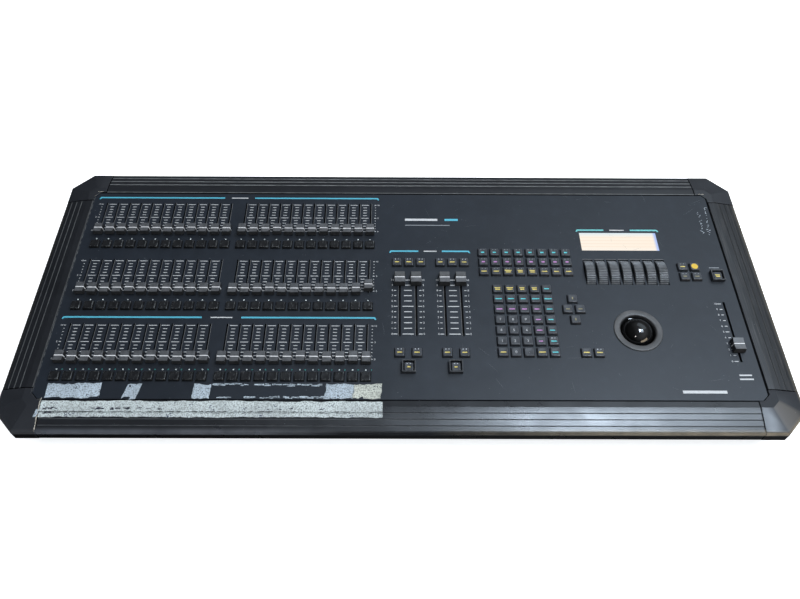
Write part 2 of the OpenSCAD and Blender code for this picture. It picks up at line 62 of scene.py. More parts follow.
def solids(node):
    """Boxes of the separate solids in a CAD node, in millimetres, rear row first, left to right."""
    mesh = bmesh.new()
    mesh.from_mesh(nodes[node].data)
    bmesh.ops.remove_doubles(mesh, verts=mesh.verts, dist=1e-6)
    waiting, boxes = set(mesh.verts), []
    while waiting:
        stack, group = [waiting.pop()], []
        while stack:
            vert = stack.pop()
            group.append(vert.co / MM)
            for edge in vert.link_edges:
                other = edge.other_vert(vert)
                if other in waiting:
                    waiting.discard(other)
                    stack.append(other)
        boxes.append((Vector([min(p[i] for p in group) for i in range(3)]),
                      Vector([max(p[i] for p in group) for i in range(3)])))
    mesh.free()
    return sorted(boxes, key=lambda b: (-round(b[0].y), b[0].x))


def middle(box):
    return (box[0] + box[1]) / 2


PANEL_LOW, PANEL_HIGH = box_mm("top_panel")
TOP = PANEL_HIGH.z
FLOAT = 0.05


# --- Materials ---

mats = {}


class Graph:
    """A node tree, with short calls that add its nodes and wire them."""

    def __init__(self, tree, where):
        self.nodes, self.links = tree.nodes, tree.links
        self.where = self.add("TexCoord", where, {})

    def add(self, kind, output, inputs, **settings):
        """Adds a node, links or sets its inputs, and returns one of its outputs."""
        made = self.nodes.new("ShaderNode" + kind)
        for name, value in settings.items():
            setattr(made, name, value)
        for socket, value in inputs.items():
            self.feed(made, socket, value)
        return made.outputs[output]

    def feed(self, node, socket, value):
        if isinstance(value, bpy.types.NodeSocket):
            self.links.new(value, node.inputs[socket])
        else:
            node.inputs[socket].default_value = value

    def noise(self, scale, detail=4.0, stretch=(1, 1, 1), shift=(0, 0, 0), distortion=0.0):
        placed = self.add("Mapping", "Vector", {"Vector": self.where, "Scale": stretch, "Location": shift})
        return self.add("TexNoise", "Fac", {"Vector": placed, "Scale": scale, "Detail": detail,
                                            "Distortion": distortion})

    def spots(self, scale):
        return self.add("TexVoronoi", "Distance", {"Vector": self.where, "Scale": scale})

    def axis(self, name):
        return self.add("SeparateXYZ", name, {0: self.where})

    def spread(self, value, low, high, to_low=0.0, to_high=1.0):
        """Maps value from low..high to to_low..to_high, and holds it there outside."""
        return self.add("MapRange", "Result", {"Value": value, "From Min": low, "From Max": high,
                                               "To Min": to_low, "To Max": to_high})

    def math(self, operation, a, b=0.0):
        return self.add("Math", "Value", {0: a, 1: b}, operation=operation)

    def times(self, a, b):
        return self.math("MULTIPLY", a, b)

    def band(self, value, centre, half, soft):
        """1 where value is within half of centre, and 0 further out than half + soft."""
        off = self.math("ABSOLUTE", self.math("SUBTRACT", value, centre))
        return self.spread(off, half, half + soft, 1.0, 0.0)

    def mix(self, factor, a, b):
        """Colour a where factor is 0 and colour b where it is 1."""
        ends = [c if isinstance(c, bpy.types.NodeSocket) else (*c, 1) for c in (a, b)]
        return self.add("Mix", 2, {"Factor": factor, 6: ends[0], 7: ends[1]}, data_type="RGBA")


class Finish(Graph):
    """A material with a Principled shader, which mats then holds under its name."""

    def __init__(self, name, colour, rough, metal=0.0, specular=0.5, coat=0.0, coat_rough=0.1):
        self.material = mats[name] = bpy.data.materials.new(name)
        self.material.use_nodes = True
        super().__init__(self.material.node_tree, "Object")
        self.set("Base Color", (*colour, 1))
        self.set("Roughness", rough)
        self.set("Metallic", metal)
        self.set("Specular IOR Level", specular)
        self.set("Coat Weight", coat)
        self.set("Coat Roughness", coat_rough)

    def set(self, socket, value):
        self.feed(self.nodes["Principled BSDF"], socket, value)

    def bump(self, height, distance, strength=1.0):
        self.set("Normal", self.add("Bump", "Normal", {"Height": height, "Distance": distance,
                                                       "Strength": strength}))


def tint(colour, factor):
    return tuple(c * factor for c in colour)


def moulded(name, colour, rough, grain=1500, patch=60, depth=0.00004, vary=0.25, **more):
    """Moulded plastic: fine grain, slightly uneven colour and gloss."""
    f = Finish(name, colour, rough, **more)
    blotch = f.spread(f.noise(patch), 0.35, 0.65)
    f.set("Base Color", f.mix(blotch, tint(colour, 1 - vary), tint(colour, 1 + vary)))
    f.set("Roughness", f.spread(f.noise(patch * 4, shift=(3, 1, 2)), 0.3, 0.7, rough - 0.07, rough + 0.08))
    f.bump(f.noise(grain, detail=2), depth, 0.6)


def mottled(f, colour, rough, vary=0.12, grain=2200):
    """Uneven satin paint on a Finish: faint haze, rubbed patches and grain. Returns its colour."""
    haze = f.spread(f.noise(9, detail=6, distortion=0.4), 0.36, 0.68)
    rubbed = f.spread(f.noise(60, detail=6, shift=(5, 2, 1)), 0.5, 0.75)
    base = f.mix(haze, tint(colour, 1 - vary), tint(colour, 1 + vary))
    base = f.mix(f.times(rubbed, 0.25), base, tint(colour, 1.8))
    f.set("Roughness", f.spread(f.noise(30, detail=6, shift=(1, 7, 3)), 0.3, 0.7, rough - 0.04, rough + 0.05))
    f.bump(f.noise(grain, detail=3), 0.00004, 0.5)
    return base


def dusted(f, base):
    """Small pale specks that come in groups, over a colour."""
    specks = f.spread(f.spots(160), 0.10, 0.04)
    some = f.spread(f.noise(30, shift=(9, 9, 9)), 0.56, 0.66)
    return f.mix(f.times(f.times(specks, some), 0.5), base, DUST)


def painted(name, colour, rough, grain=2200):
    f = Finish(name, colour, rough)
    f.set("Base Color", dusted(f, mottled(f, colour, rough, 0.15, grain)))


def panel_paint(name):
    """The top panel's paint: painted shade, black, along the rear and right seams, and a painted highlight,
    pale, along the left edge.
    """
    f = Finish(name, SLATE, 0.44)
    base = dusted(f, mottled(f, SLATE, 0.44, 0.1))
    x, y = f.axis("X"), f.axis("Y")
    wide, deep = PANEL_HIGH.x * MM, PANEL_HIGH.y * MM
    # Painted shade: black paint with little specular next to the right and rear seams, where shade falls into
    # the gap.
    shade = f.math("MAXIMUM", f.spread(x, wide - 2.0 * MM, wide - 1.4 * MM),
                   f.spread(y, deep - 2.4 * MM, deep - 1.6 * MM))
    base = f.mix(shade, base, BLACK)
    f.set("Specular IOR Level", f.spread(shade, 0, 1, 0.45, 0.02))
    # Painted highlight: a ragged pale line along the left edge, where the edge catches the light.
    ragged_highlight = f.spread(f.noise(130, detail=6, shift=(2, 8, 1)), 0.4, 0.62)
    pale = f.times(f.spread(x, 0.9 * MM - wide, 1.5 * MM - wide, 1.0, 0.0), ragged_highlight)
    f.set("Base Color", f.mix(f.times(pale, 0.7), base, PALE))


def rail_paint(name, across, lines, nose, seam, streak=0.0, line_half=0.5, rough=0.34):
    """Paint on an extruded rail, with painted light. lines, nose and seam are (left colour, right colour)
    pairs, for the grooves, the rounded nose and the edge at the panel: pale ones are painted highlights,
    black ones painted shade, and the nose colours a painted highlight band. The rail's ends are painted black
    as shade at the castings."""
    f = Finish(name, CHARCOAL, rough)
    base = mottled(f, CHARCOAL, rough)
    half = (PANEL_HIGH.x if across == "X" else PANEL_HIGH.y) * MM
    out = f.math("SUBTRACT", f.math("ABSOLUTE", f.axis(across)), half)
    side = f.spread(f.axis("X"), -0.05, 0.2)
    if streak:
        stretch = (1, 0.02, 0.2) if across == "X" else (0.02, 1, 0.2)
        fine = f.spread(f.noise(900, detail=4, stretch=stretch), 0.5, 0.7)
        base = f.mix(f.times(fine, streak), base, (0.1, 0.095, 0.09))
    # Breaks the painted groove and seam lines into patches.
    wear_and_light_patches = f.spread(f.noise(80, detail=5, shift=(3, 3, 3)), 0.3, 0.6, 0.55, 1.0)
    # Groove lines: pale ones are a painted highlight, dark ones painted shade with dirt in the grooves.
    for at in GROOVES:
        line = f.band(out, at * MM, line_half * MM, 0.4 * MM)
        base = f.mix(f.times(line, wear_and_light_patches), base, f.mix(side, *lines))
    # Seam at the panel: black is painted shade in the gap, pale is a painted highlight on the edge.
    edge = f.spread(out, 1.8 * MM, 2.4 * MM, 1.0, 0.0)
    base = f.mix(f.times(edge, wear_and_light_patches), base, f.mix(side, *seam))
    # Painted shade: the rail turns black, with little specular, at its ends, where shade falls in the joints
    # with the castings.
    along, end = ("Y", box_mm("left_rail")[1].y) if across == "X" else ("X", box_mm("front_rail")[1].x)
    to_end = f.math("ABSOLUTE", f.axis(along))
    dark = f.spread(to_end, (end - 2.0) * MM, (end - 1.4) * MM)
    base = f.mix(dark, base, BLACK)
    if seam[0] == BLACK:
        dark = f.math("MAXIMUM", dark, edge)
    f.set("Specular IOR Level", f.spread(dark, 0, 1, 0.5, 0.02))
    nosed(f, base, nose)


def nosed(f, base, nose, strength=1.0):
    """Adds a painted highlight band round a nose, which is dark in the middle of the desk, and painted shade,
    black, under it.
    """
    x, z = f.axis("X"), f.axis("Z")
    # Painted highlight: the band's colour, grey-blue to the left and tan to the right.
    colour = f.mix(f.spread(x, -0.2, -0.08), nose[0], CHARCOAL)
    colour = f.mix(f.spread(x, 0.04, 0.32), colour, nose[1])
    band = f.band(z, (TOP - 9.0) * MM, 2.0 * MM, 1.6 * MM)
    patchy = f.spread(f.noise(35, detail=6, shift=(6, 1, 6)), 0.3, 0.6, 0.6, 1.0)
    amount = f.times(f.times(band, patchy), strength)
    base = f.mix(amount, base, colour)
    # Painted shade: black under the nose.
    under = f.spread(z, (TOP - 14) * MM, (TOP - 11.5) * MM, 1.0, 0.0)
    f.set("Base Color", f.mix(under, dusted(f, base), BLACK))


def casting_paint(name):
    """Castings: darker than the rails at the left, rubbed in places, with a painted highlight on the front
    right diagonal facet and the same painted nose highlight and shade as the rails.
    """
    colour = (0.019, 0.021, 0.026)
    f = Finish(name, colour, 0.42)
    base = mottled(f, colour, 0.42, grain=1300)
    # Painted highlight: the diagonal facet at the front right, found by its normal, is lighter and warmer.
    side = f.times(f.spread(f.axis("X"), -0.05, 0.2), f.spread(f.axis("Y"), 0.1, -0.1))
    normal = f.add("TexCoord", "Normal", {})
    facing = {name: f.add("SeparateXYZ", name, {0: normal}) for name in "XYZ"}
    slanting = f.times(f.spread(facing["X"], 0.04, 0.08), f.spread(facing["Y"], -0.04, -0.08))
    base = f.mix(f.times(slanting, side), base, (0.085, 0.078, 0.072))
    level = f.times(f.spread(facing["Z"], 0.985, 0.997), side)
    f.set("Specular IOR Level", f.spread(level, 0, 1, 0.5, 0.2))
    # Painted highlight band along the nose, strongest at the front, and painted shade under it.
    front = f.spread(f.axis("Y"), 0.1, -0.1, 0.25, 1.0)
    nosed(f, base, ((0.05, 0.053, 0.06), (0.26, 0.225, 0.165)), front)


def worn_edge(name, colour, bare, amount=0.5):
    """Paint along an edge, rubbed through to the metal in places."""
    f = Finish(name, colour, 0.42)
    low = 0.68 - 0.3 * amount
    wear_and_light_patches = f.spread(f.noise(55, detail=8, shift=(2, 4, 6)), low, low + 0.05)
    f.set("Base Color", f.mix(wear_and_light_patches, tint(colour, 1.7), bare))
    f.set("Roughness", f.spread(wear_and_light_patches, 0, 1, 0.42, 0.3))
    f.bump(f.noise(900, detail=3), 0.00008, 0.5)


def rubbed_key(name, colour, start):
    """Near-black glossy keys, fingered grey in fine strokes. A lower start rubs more of them."""
    f = Finish(name, colour, 0.33)
    strokes = f.spread(f.noise(420, detail=6, stretch=(1, 0.3, 1), distortion=1.2), start, start + 0.1)
    base = f.mix(f.times(strokes, 0.8), colour, (0.11, 0.12, 0.125))
    f.set("Base Color", base)
    f.set("Roughness", f.spread(f.noise(150, shift=(1, 1, 4)), 0.3, 0.7, 0.26, 0.44))
    f.bump(f.noise(1700, detail=2), 0.00004, 0.6)


def metal(name, colour, rough, stretch=(1, 1, 1)):
    """Plated or brushed metal."""
    f = Finish(name, colour, rough, metal=1.0)
    f.set("Base Color", f.mix(f.noise(30), tint(colour, 0.8), tint(colour, 1.1)))
    lines = f.noise(700, stretch=stretch)
    f.set("Roughness", f.spread(lines, 0.3, 0.7, rough - 0.08, rough + 0.1))
    f.bump(lines, 0.00003, 0.5)


def ink(name, colour, wear=0.5):
    """Screen print, also used for the painted highlight along slot edges: flat colour that is a little thin
    and scuffed in places.
    """
    f = Finish(name, colour, 0.5)
    thin = f.spread(f.noise(420, detail=5), 0.5, 0.75)
    f.set("Base Color", f.mix(f.times(thin, wear), colour, tint(colour, 0.35)))


def lit_screen(name):
    """The display's face: a cream glow with fine lines across and a bluer rear and right edge."""
    f = Finish(name, (0.05, 0.045, 0.04), 0.4, specular=0.2)
    low, high = (corner * MM for corner in box_mm("display_window"))
    x, y = f.axis("X"), f.axis("Y")
    lines = f.add("TexWave", "Fac", {"Vector": f.where, "Scale": 48}, bands_direction="Y")
    glow = f.mix(f.spread(lines, 0.7, 1.0, 0.0, 0.5), (1.0, 0.9, 0.77), (0.92, 0.72, 0.56))
    warm = f.spread(x, low.x, high.x, 0.0, 0.35)
    glow = f.mix(warm, glow, (0.98, 0.82, 0.66))
    glow = f.mix(f.spread(y, low.y + 0.007, low.y, 0.0, 0.5), glow, (1.0, 0.97, 0.92))
    glow = f.mix(f.spread(y, high.y - 0.009, high.y - 0.001, 0.0, 0.9), glow, (0.72, 0.86, 0.93))
    glow = f.mix(f.spread(x, high.x - 0.006, high.x - 0.002), glow, (0.4, 0.53, 0.92))
    f.set("Emission Color", glow)
    f.set("Emission Strength", SCREEN_GLOW)


def residue(name, pale, dark, cover):
    """What old tape leaves behind: pale, speckled all over and worn through in places."""
    f = Finish(name, pale, 0.75)
    fine = f.noise(520, detail=6)
    broad = f.noise(70, detail=6, shift=(4, 4, 4))
    both = f.math("ADD", f.times(fine, 0.5), f.times(broad, 0.5))
    cloud = f.mix(f.spread(f.noise(25), 0.35, 0.65), tint(pale, 0.85), tint(pale, 1.06))
    speckled = f.mix(f.spread(fine, 0.44, 0.62, 0.0, 0.85), cloud, tint(pale, 0.4))
    f.set("Base Color", f.mix(f.spread(both, cover, cover + 0.03), speckled, dark))
    f.bump(fine, 0.0001, 0.6)


SLATE = (0.0122, 0.0166, 0.0245)
CHARCOAL = (0.013, 0.0145, 0.018)
DUST = (0.3, 0.33, 0.37)
# BLACK is also the painted shade in seams, at rail ends and under noses; PALE is the painted highlight along
# grooves and edges; BROWN colours some painted nose bands and dark groove lines.
BLACK = (0.002, 0.002, 0.0025)
PALE = (0.15, 0.16, 0.165)
BROWN = (0.03, 0.028, 0.026)
BARE = (0.62, 0.58, 0.5)
OLD_GLUE = (0.05, 0.06, 0.08)
GROOVES = (20, 29, 38)
SCREEN_GLOW = 0.93
panel_paint("panel_paint")
# Each rail's groove, nose and seam colours are painted highlights and painted shade.
rail_paint("rail_paint_front", "Y", ((0.12, 0.13, 0.14), BLACK),
           ((0.1, 0.11, 0.13), (0.24, 0.21, 0.16)), (BLACK, BLACK), rough=0.3)
rail_paint("rail_paint_rear", "Y", (tint(PALE, 1.9),) * 2, (CHARCOAL, CHARCOAL), (PALE, PALE),
           line_half=0.9)
rail_paint("rail_paint_left", "X", (PALE, PALE), (BROWN, CHARCOAL), ((0.1, 0.105, 0.11), BLACK))
rail_paint("rail_paint_right", "X", (PALE, BROWN), (CHARCOAL, (0.11, 0.095, 0.07)), (BLACK, BLACK),
           streak=0.35, rough=0.4)
worn_edge("rail_edge", (0.022, 0.024, 0.028), (0.1, 0.105, 0.11), 0.4)
casting_paint("casting_paint")
worn_edge("casting_edge", (0.02, 0.022, 0.026), (0.2, 0.19, 0.17), 0.25)
painted("pan_paint", (0.012, 0.012, 0.013), 0.55, grain=900)
worn_edge("pan_edge", (0.014, 0.014, 0.015), (0.2, 0.2, 0.21), 0.3)
painted("connector_paint", (0.11, 0.115, 0.125), 0.42)
moulded("cap_plastic", (0.075, 0.08, 0.088), 0.5, grain=2600, patch=150, vary=0.22)
# Painted shade: darker copies of the cap plastic for the caps' flanks, stems and rear ends, the rear half of
# the cross fader caps' tops, and the front ends.
moulded("cap_flank_shade", (0.016, 0.0165, 0.018), 0.55, grain=2600, patch=150)
moulded("cap_big", (0.1, 0.107, 0.118), 0.48, grain=2600, patch=150, vary=0.18)
moulded("cap_rear_shade", (0.058, 0.06, 0.062), 0.5, grain=2600, patch=150, vary=0.18)
moulded("cap_front_shade", (0.034, 0.035, 0.037), 0.5, grain=2600, patch=150)
ink("cap_line", (0.78, 0.8, 0.83), 0.25)
moulded("key_plastic", (0.034, 0.038, 0.046), 0.42, grain=1900, patch=160, vary=0.18)
# Painted highlight on the keys' rounded rims and painted shade on their skirts: lighter and darker copies of
# the key plastic.
moulded("key_rim_highlight", (0.06, 0.066, 0.078), 0.34, grain=1900, patch=160, vary=0.18)
moulded("key_skirt_shade", (0.008, 0.0085, 0.01), 0.45, grain=1900, patch=160)
rubbed_key("bump_plastic", (0.0085, 0.009, 0.0105), 0.62)
rubbed_key("bump_rim", (0.009, 0.0095, 0.011), 0.5)
moulded("guard_plastic", (0.035, 0.038, 0.043), 0.42, grain=1800)
moulded("bezel_plastic", (0.062, 0.063, 0.066), 0.46, grain=1600, patch=40)
moulded("housing_plastic", (0.012, 0.012, 0.013), 0.5)
moulded("ball_resin", (0.004, 0.004, 0.0045), 0.08, grain=300, patch=30, depth=0.000004, coat=0.6,
        coat_rough=0.03)
moulded("wheel_rubber", (0.042, 0.047, 0.054), 0.5, grain=2400, patch=90)
# Painted highlight: the wheels' rib crests in a lighter copy of the rubber.
moulded("wheel_crest_highlight", (0.19, 0.205, 0.22), 0.45, grain=2400, patch=90)
moulded("led_rim", (0.012, 0.012, 0.013), 0.3, grain=900)
moulded("led_lens", (0.66, 0.74, 0.76), 0.3, grain=900)
moulded("led_lens_teal", (0.045, 0.21, 0.21), 0.3, grain=900)
lit_screen("display_glass")
moulded("module_case", (0.03, 0.03, 0.033), 0.5)
moulded("pot_cover", (0.02, 0.02, 0.021), 0.45)
moulded("switch_plastic", (0.02, 0.02, 0.021), 0.5)
moulded("board_resin", (0.012, 0.09, 0.045), 0.35, grain=500, patch=120)
metal("bracket_steel", (0.5, 0.5, 0.51), 0.32, stretch=(1, 0.05, 1))
metal("supply_case", (0.58, 0.58, 0.6), 0.38, stretch=(0.05, 1, 1))
moulded("foot_rubber", (0.013, 0.013, 0.013), 0.8, grain=1200, depth=0.0001)
metal("screw_steel", (0.5, 0.5, 0.5), 0.3)
metal("roller_steel", (0.6, 0.6, 0.61), 0.2)
ink("print_white", (0.62, 0.65, 0.68), 0.4)
ink("print_grey", (0.26, 0.29, 0.32), 0.4)
ink("print_turquoise", (0.09, 0.46, 0.62), 0.15)
ink("print_teal", (0.14, 0.53, 0.55), 0.15)
ink("legend_cyan", (0.09, 0.62, 0.68), 0.15)
ink("legend_magenta", (0.56, 0.24, 0.6), 0.15)
ink("legend_yellow", (0.72, 0.59, 0.14), 0.15)
ink("status_dot_yellow", (0.72, 0.48, 0.025), 0.15)
ink("legend_pale", (0.52, 0.57, 0.63), 0.25)
ink("legend_dim", (0.26, 0.24, 0.13), 0.3)
residue("tape_residue", (0.52, 0.62, 0.71), OLD_GLUE, 0.61)
residue("tape_residue_cream", (0.62, 0.66, 0.6), OLD_GLUE, 0.6)
residue("tape_residue_long", (0.66, 0.74, 0.75), (0.1, 0.12, 0.17), 0.6)
moulded("dark_smudge", (0.012, 0.014, 0.03), 0.6)
ink("scuff", (0.15, 0.165, 0.19), 0.7)
ink("scribble", (0.5, 0.57, 0.64), 0.4)
# Painted highlight along the edges of the fader and wheel slots.
ink("slot_edge_highlight", (0.13, 0.135, 0.14), 0.4)
ink("bare_chip", BARE, 0.5)


# --- Putting shapes together ---

class Shape:
    """Points in millimetres, faces between them, and the material that each face takes."""

    def __init__(self):
        self.points, self.faces, self.kinds = [], [], []

    def add(self, points, faces, kind=0):
        first = len(self.points)
        self.points += [tuple(p) for p in points]
        self.faces += [tuple(first + i for i in face) for face in faces]
        self.kinds += kind if isinstance(kind, list) else [kind] * len(faces)

    def loft(self, rings, kind=0, around=True, first_cap=False, last_cap=False, loop=False):
        """Joins rings of equally many points, which are in order round the shape. kind is one
        material for all faces, or a list with one for each gap between two rings."""
        count = len(rings[0])
        faces, kinds = [], []
        last = len(rings) if loop else len(rings) - 1
        bands = kind if isinstance(kind, list) else [kind] * last
        for r in range(last):
            a, b = r * count, (r + 1) % len(rings) * count
            for i in range(count if around else count - 1):
                j = (i + 1) % count
                faces.append((a + i, a + j, b + j, b + i))
                kinds.append(bands[r])
        if first_cap:
            faces.append(tuple(reversed(range(count))))
            kinds.append(bands[0])
        if last_cap:
            faces.append(tuple(range((len(rings) - 1) * count, len(rings) * count)))
            kinds.append(bands[-1])
        self.add([p for ring in rings for p in ring], faces, kinds)

    def block(self, low, high, kind=0):
        (x0, y0, z0), (x1, y1, z1) = low, high
        self.loft([[(x0, y0, z), (x1, y0, z), (x1, y1, z), (x0, y1, z)] for z in (z0, z1)], kind,
                  first_cap=True, last_cap=True)

    def flat(self, x0, y0, x1, y1, z, kind=0):
        self.add([(x0, y0, z), (x1, y0, z), (x1, y1, z), (x0, y1, z)], [(0, 1, 2, 3)], kind)


def circle(centre, radius, z, steps):
    """Points round a vertical axis at height z."""
    angles = [2 * math.pi * i / steps for i in range(steps)]
    return [(centre[0] + radius * math.cos(a), centre[1] + radius * math.sin(a), z) for a in angles]


def round_edges(obj, width, angle):
    rounding = obj.modifiers.new("rounding", "BEVEL")
    rounding.width = width * MM
    rounding.segments = 2
    rounding.limit_method = "ANGLE"
    rounding.angle_limit = math.radians(angle)
    return rounding


def piece(name, shape, body, materials, replaces=(), sharp=35, bevel=0):
    """Makes the Blender object for a shape, in metres, parents it to its body's empty and hides the CAD nodes
    it replaces.
    """
    mesh = bpy.data.meshes.new(name)
    mesh.from_pydata([tuple(c * MM for c in p) for p in shape.points], [], shape.faces)
    for key in materials:
        mesh.materials.append(mats[key])
    mesh.polygons.foreach_set("material_index", shape.kinds)
    mesh.polygons.foreach_set("use_smooth", [True] * len(shape.faces))
    mesh.set_sharp_from_angle(angle=math.radians(sharp))
    mesh.update()
    obj = bpy.data.objects.new(name, mesh)
    bpy.context.scene.collection.objects.link(obj)
    if bevel:
        round_edges(obj, bevel, 30).harden_normals = True
    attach(obj, body)
    if replaces:
        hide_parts(*replaces)
    return obj


def dress(node, paint, edge=None, width=0.5):
    """Gives a CAD node its material, and rounds its edges in a material of their own."""
    obj = nodes[node]
    obj.material_slots[0].material = mats[paint]
    if not edge:
        return
    obj.data.materials.append(mats[edge])
    weld = obj.modifiers.new("weld", "WELD")
    weld.merge_threshold = 0.01 * MM
    plain = obj.modifiers.new("plain", "DECIMATE")
    plain.decimate_type = "DISSOLVE"
    plain.angle_limit = math.radians(0.3)
    round_edges(obj, width, 28).material = 1


def turned(shape, profile, centre, steps, axis="Z", ribs=0, rib_deep=0.0, rib_from=0.0):
    """Turns a closed profile of (radius, height) round an axis. Radii past rib_from carry ribs, whose crests
    take the second material; on the wheels that is a lighter copy of the rubber, a painted highlight."""
    rings, bands = [], []
    for step in range(steps):
        angle = 2 * math.pi * step / steps
        quarter = step * ribs * 4 // steps % 4
        low = quarter in (2, 3)
        bands.append(1 if ribs and quarter == 0 else 0)
        ring = []
        for radius, height in profile:
            r = radius - rib_deep if low and radius > rib_from else radius
            a, b = r * math.cos(angle), r * math.sin(angle)
            offset = (a, b, height) if axis == "Z" else (height, a, b)
            ring.append(tuple(c + o for c, o in zip(centre, offset)))
        rings.append(ring)
    shape.loft(rings, bands, loop=True)


# --- Fader caps ---

CAP_FLARE = 1.0
CAP_GAP = 1.2
CAP_DIP = 1.0
CAP_LIP = 0.4
LINE_HALF = 0.75
FACE_EDGE = 1.3
# CAP_FLANK, CAP_FRONT and CAP_REAR index the painted-shade copies of the cap plastic.
CAP_TOP, CAP_LINE, CAP_FLANK, CAP_FRONT, CAP_REAR = range(5)


def cap(shape, low, high, stem_t, stem_w, rear_kind):
    """One fader cap on its lever: a flared block with a hollowed top and a pointer line. rear_kind is the
    material of the top behind the line. The flanks, stem and ends take darker copies of the cap plastic, as
    painted shade."""
    mid = (low + high) / 2
    half_w = (high.x - low.x) / 2 - CAP_FLARE
    half_l = (high.y - low.y) / 2 - CAP_FLARE
    height = high.z - TOP
    edge = 1 - FACE_EDGE / half_l
    line = LINE_HALF / half_l
    stops = [-1, -edge, -0.68, -0.42, -0.2, -line, line, 0.2, 0.42, 0.68, edge, 1]
    rings = []
    for t in stops:
        z = height - CAP_DIP * (1 - t * t)
        flare = CAP_FLARE * (1 - z / height)
        foot = 1 if abs(t) <= line else 1 + CAP_FLARE / half_l
        y, foot_y = t * half_l, t * half_l * foot
        wide, foot_w = half_w + flare, half_w + CAP_FLARE
        rings.append([(mid.x - foot_w, mid.y + foot_y, TOP + CAP_GAP),
                      (mid.x - wide, mid.y + y, TOP + z - CAP_LIP),
                      (mid.x - wide + CAP_LIP, mid.y + y, TOP + z),
                      (mid.x + wide - CAP_LIP, mid.y + y, TOP + z),
                      (mid.x + wide, mid.y + y, TOP + z - CAP_LIP),
                      (mid.x + foot_w, mid.y + foot_y, TOP + CAP_GAP)])
    for stop, ring, after in zip(stops, rings, rings[1:]):
        on_line = stop == -line
        top = CAP_LINE if on_line else rear_kind if stop > 0 else CAP_TOP
        flank = CAP_LINE if on_line else CAP_FLANK
        for start, end, kind in ((1, 5, top), (0, 2, flank), (4, 6, flank)):
            shape.loft([ring[start:end], after[start:end]], kind, around=False)
        shape.loft([[ring[5], ring[0]], [after[5], after[0]]], CAP_FLANK, around=False)
    shape.add(rings[0], [tuple(reversed(range(6)))], CAP_FRONT)
    shape.add(rings[-1], [tuple(range(6))], CAP_FLANK)
    shape.block((mid.x - stem_t / 2, mid.y - stem_w / 2, low.z),
                (mid.x + stem_t / 2, mid.y + stem_w / 2, TOP + CAP_GAP + 0.5), CAP_FLANK)


def joined(mesh):
    """Merges the points that neighbouring strips of a shape share."""
    work = bmesh.new()
    work.from_mesh(mesh)
    bmesh.ops.remove_doubles(work, verts=work.verts, dist=0.002 * MM)
    bmesh.ops.recalc_face_normals(work, faces=work.faces)
    work.to_mesh(mesh)
    work.free()


SMALL_BANKS = ["upper_faders_left", "upper_faders_right", "middle_faders_left", "middle_faders_right",
               "middle_fader_24", "lower_faders_left", "lower_faders_right"]
BIG_FADERS = ["cross_fader_1", "cross_fader_2", "cross_fader_3", "cross_fader_4", "grand_master_fader"]


BIG_CAP_GROWTH = Vector((0.3, 1.3, 0))


def fader_caps():
    for body in SMALL_BANKS + BIG_FADERS:
        big = body in BIG_FADERS
        stem = (2.4, 4.0) if big else (1.2, 3.0)
        grow = BIG_CAP_GROWTH if big else Vector((0, 0, 0))
        # Painted shade: the cross fader caps' tops are darker behind the pointer line.
        rear = CAP_REAR if body.startswith("cross") else CAP_TOP
        shape = Shape()
        for low, high in solids(body):
            cap(shape, low - grow, high + grow, *stem, rear)
        obj = piece(body + "_caps", shape, body,
                    ["cap_big" if big else "cap_plastic", "cap_line", "cap_flank_shade", "cap_front_shade",
                     "cap_rear_shade"], [body], bevel=0.3)
        joined(obj.data)


# --- Keys ---

def rounded_square(half, radius):
    """Corner-rounded square as a ring of (x, y), counter-clockwise."""
    steps = 3
    ring = []
    for corner in range(4):
        turn = math.pi / 2 * corner
        for step in range(steps + 1):
            a = turn + math.pi / 2 * step / steps
            cx = (half - radius) * (1 if corner in (0, 3) else -1)
            cy = (half - radius) * (1 if corner in (0, 1) else -1)
            ring.append((cx + radius * math.cos(a), cy + radius * math.sin(a)))
    return ring


DISH = 0.5
KEY_RIM = 0.65
SINK = Vector((0, 0, 1.5))


def dish(x, y, half, depth):
    """How far a key's hollowed top lies below its rim at x, y from its centre."""
    return depth * max(0.0, 1 - (x / half) ** 2) * max(0.0, 1 - (y / half) ** 2)


def key_cap(shape, low, high, top_half, depth):
    """One key cap: straight skirt, tapered sides, rounded rim and a hollowed top. The skirt takes the second
    material, a darker copy as painted shade, and the rim the third.
    """
    face, side, rim_face = range(3)
    mid = (low + high) / 2
    base_half = (high.x - low.x) / 2
    skirt_low, skirt_high, rise = TOP - 3.4, TOP + 0.6, high.z
    slope = (base_half - top_half) / (rise - skirt_high)
    rim = top_half - KEY_RIM
    stages = [(base_half, 0.9, skirt_low), (base_half, 0.9, skirt_high),
              (top_half + 0.9 * slope, 1.4, rise - 0.9), (top_half - 0.12, 1.5, rise - 0.36),
              (top_half - 0.35, 1.5, rise - 0.1), (rim, 1.4, rise)]
    rings = [[(mid.x + x, mid.y + y, z) for x, y in rounded_square(half, radius)]
             for half, radius, z in stages]
    for share in (0.78, 0.52, 0.26):
        rings.append([(mid.x + x, mid.y + y, rise - dish(x, y, rim, depth))
                      for x, y in rounded_square(rim * share, 1.4 * share)])
    shape.loft(rings, [side, face] + [rim_face] * 3 + [face] * 3, first_cap=True, last_cap=True)
    shape.block((mid.x - 1.8, mid.y - 1.8, low.z), (mid.x + 1.8, mid.y + 1.8, skirt_low + 0.1), side)


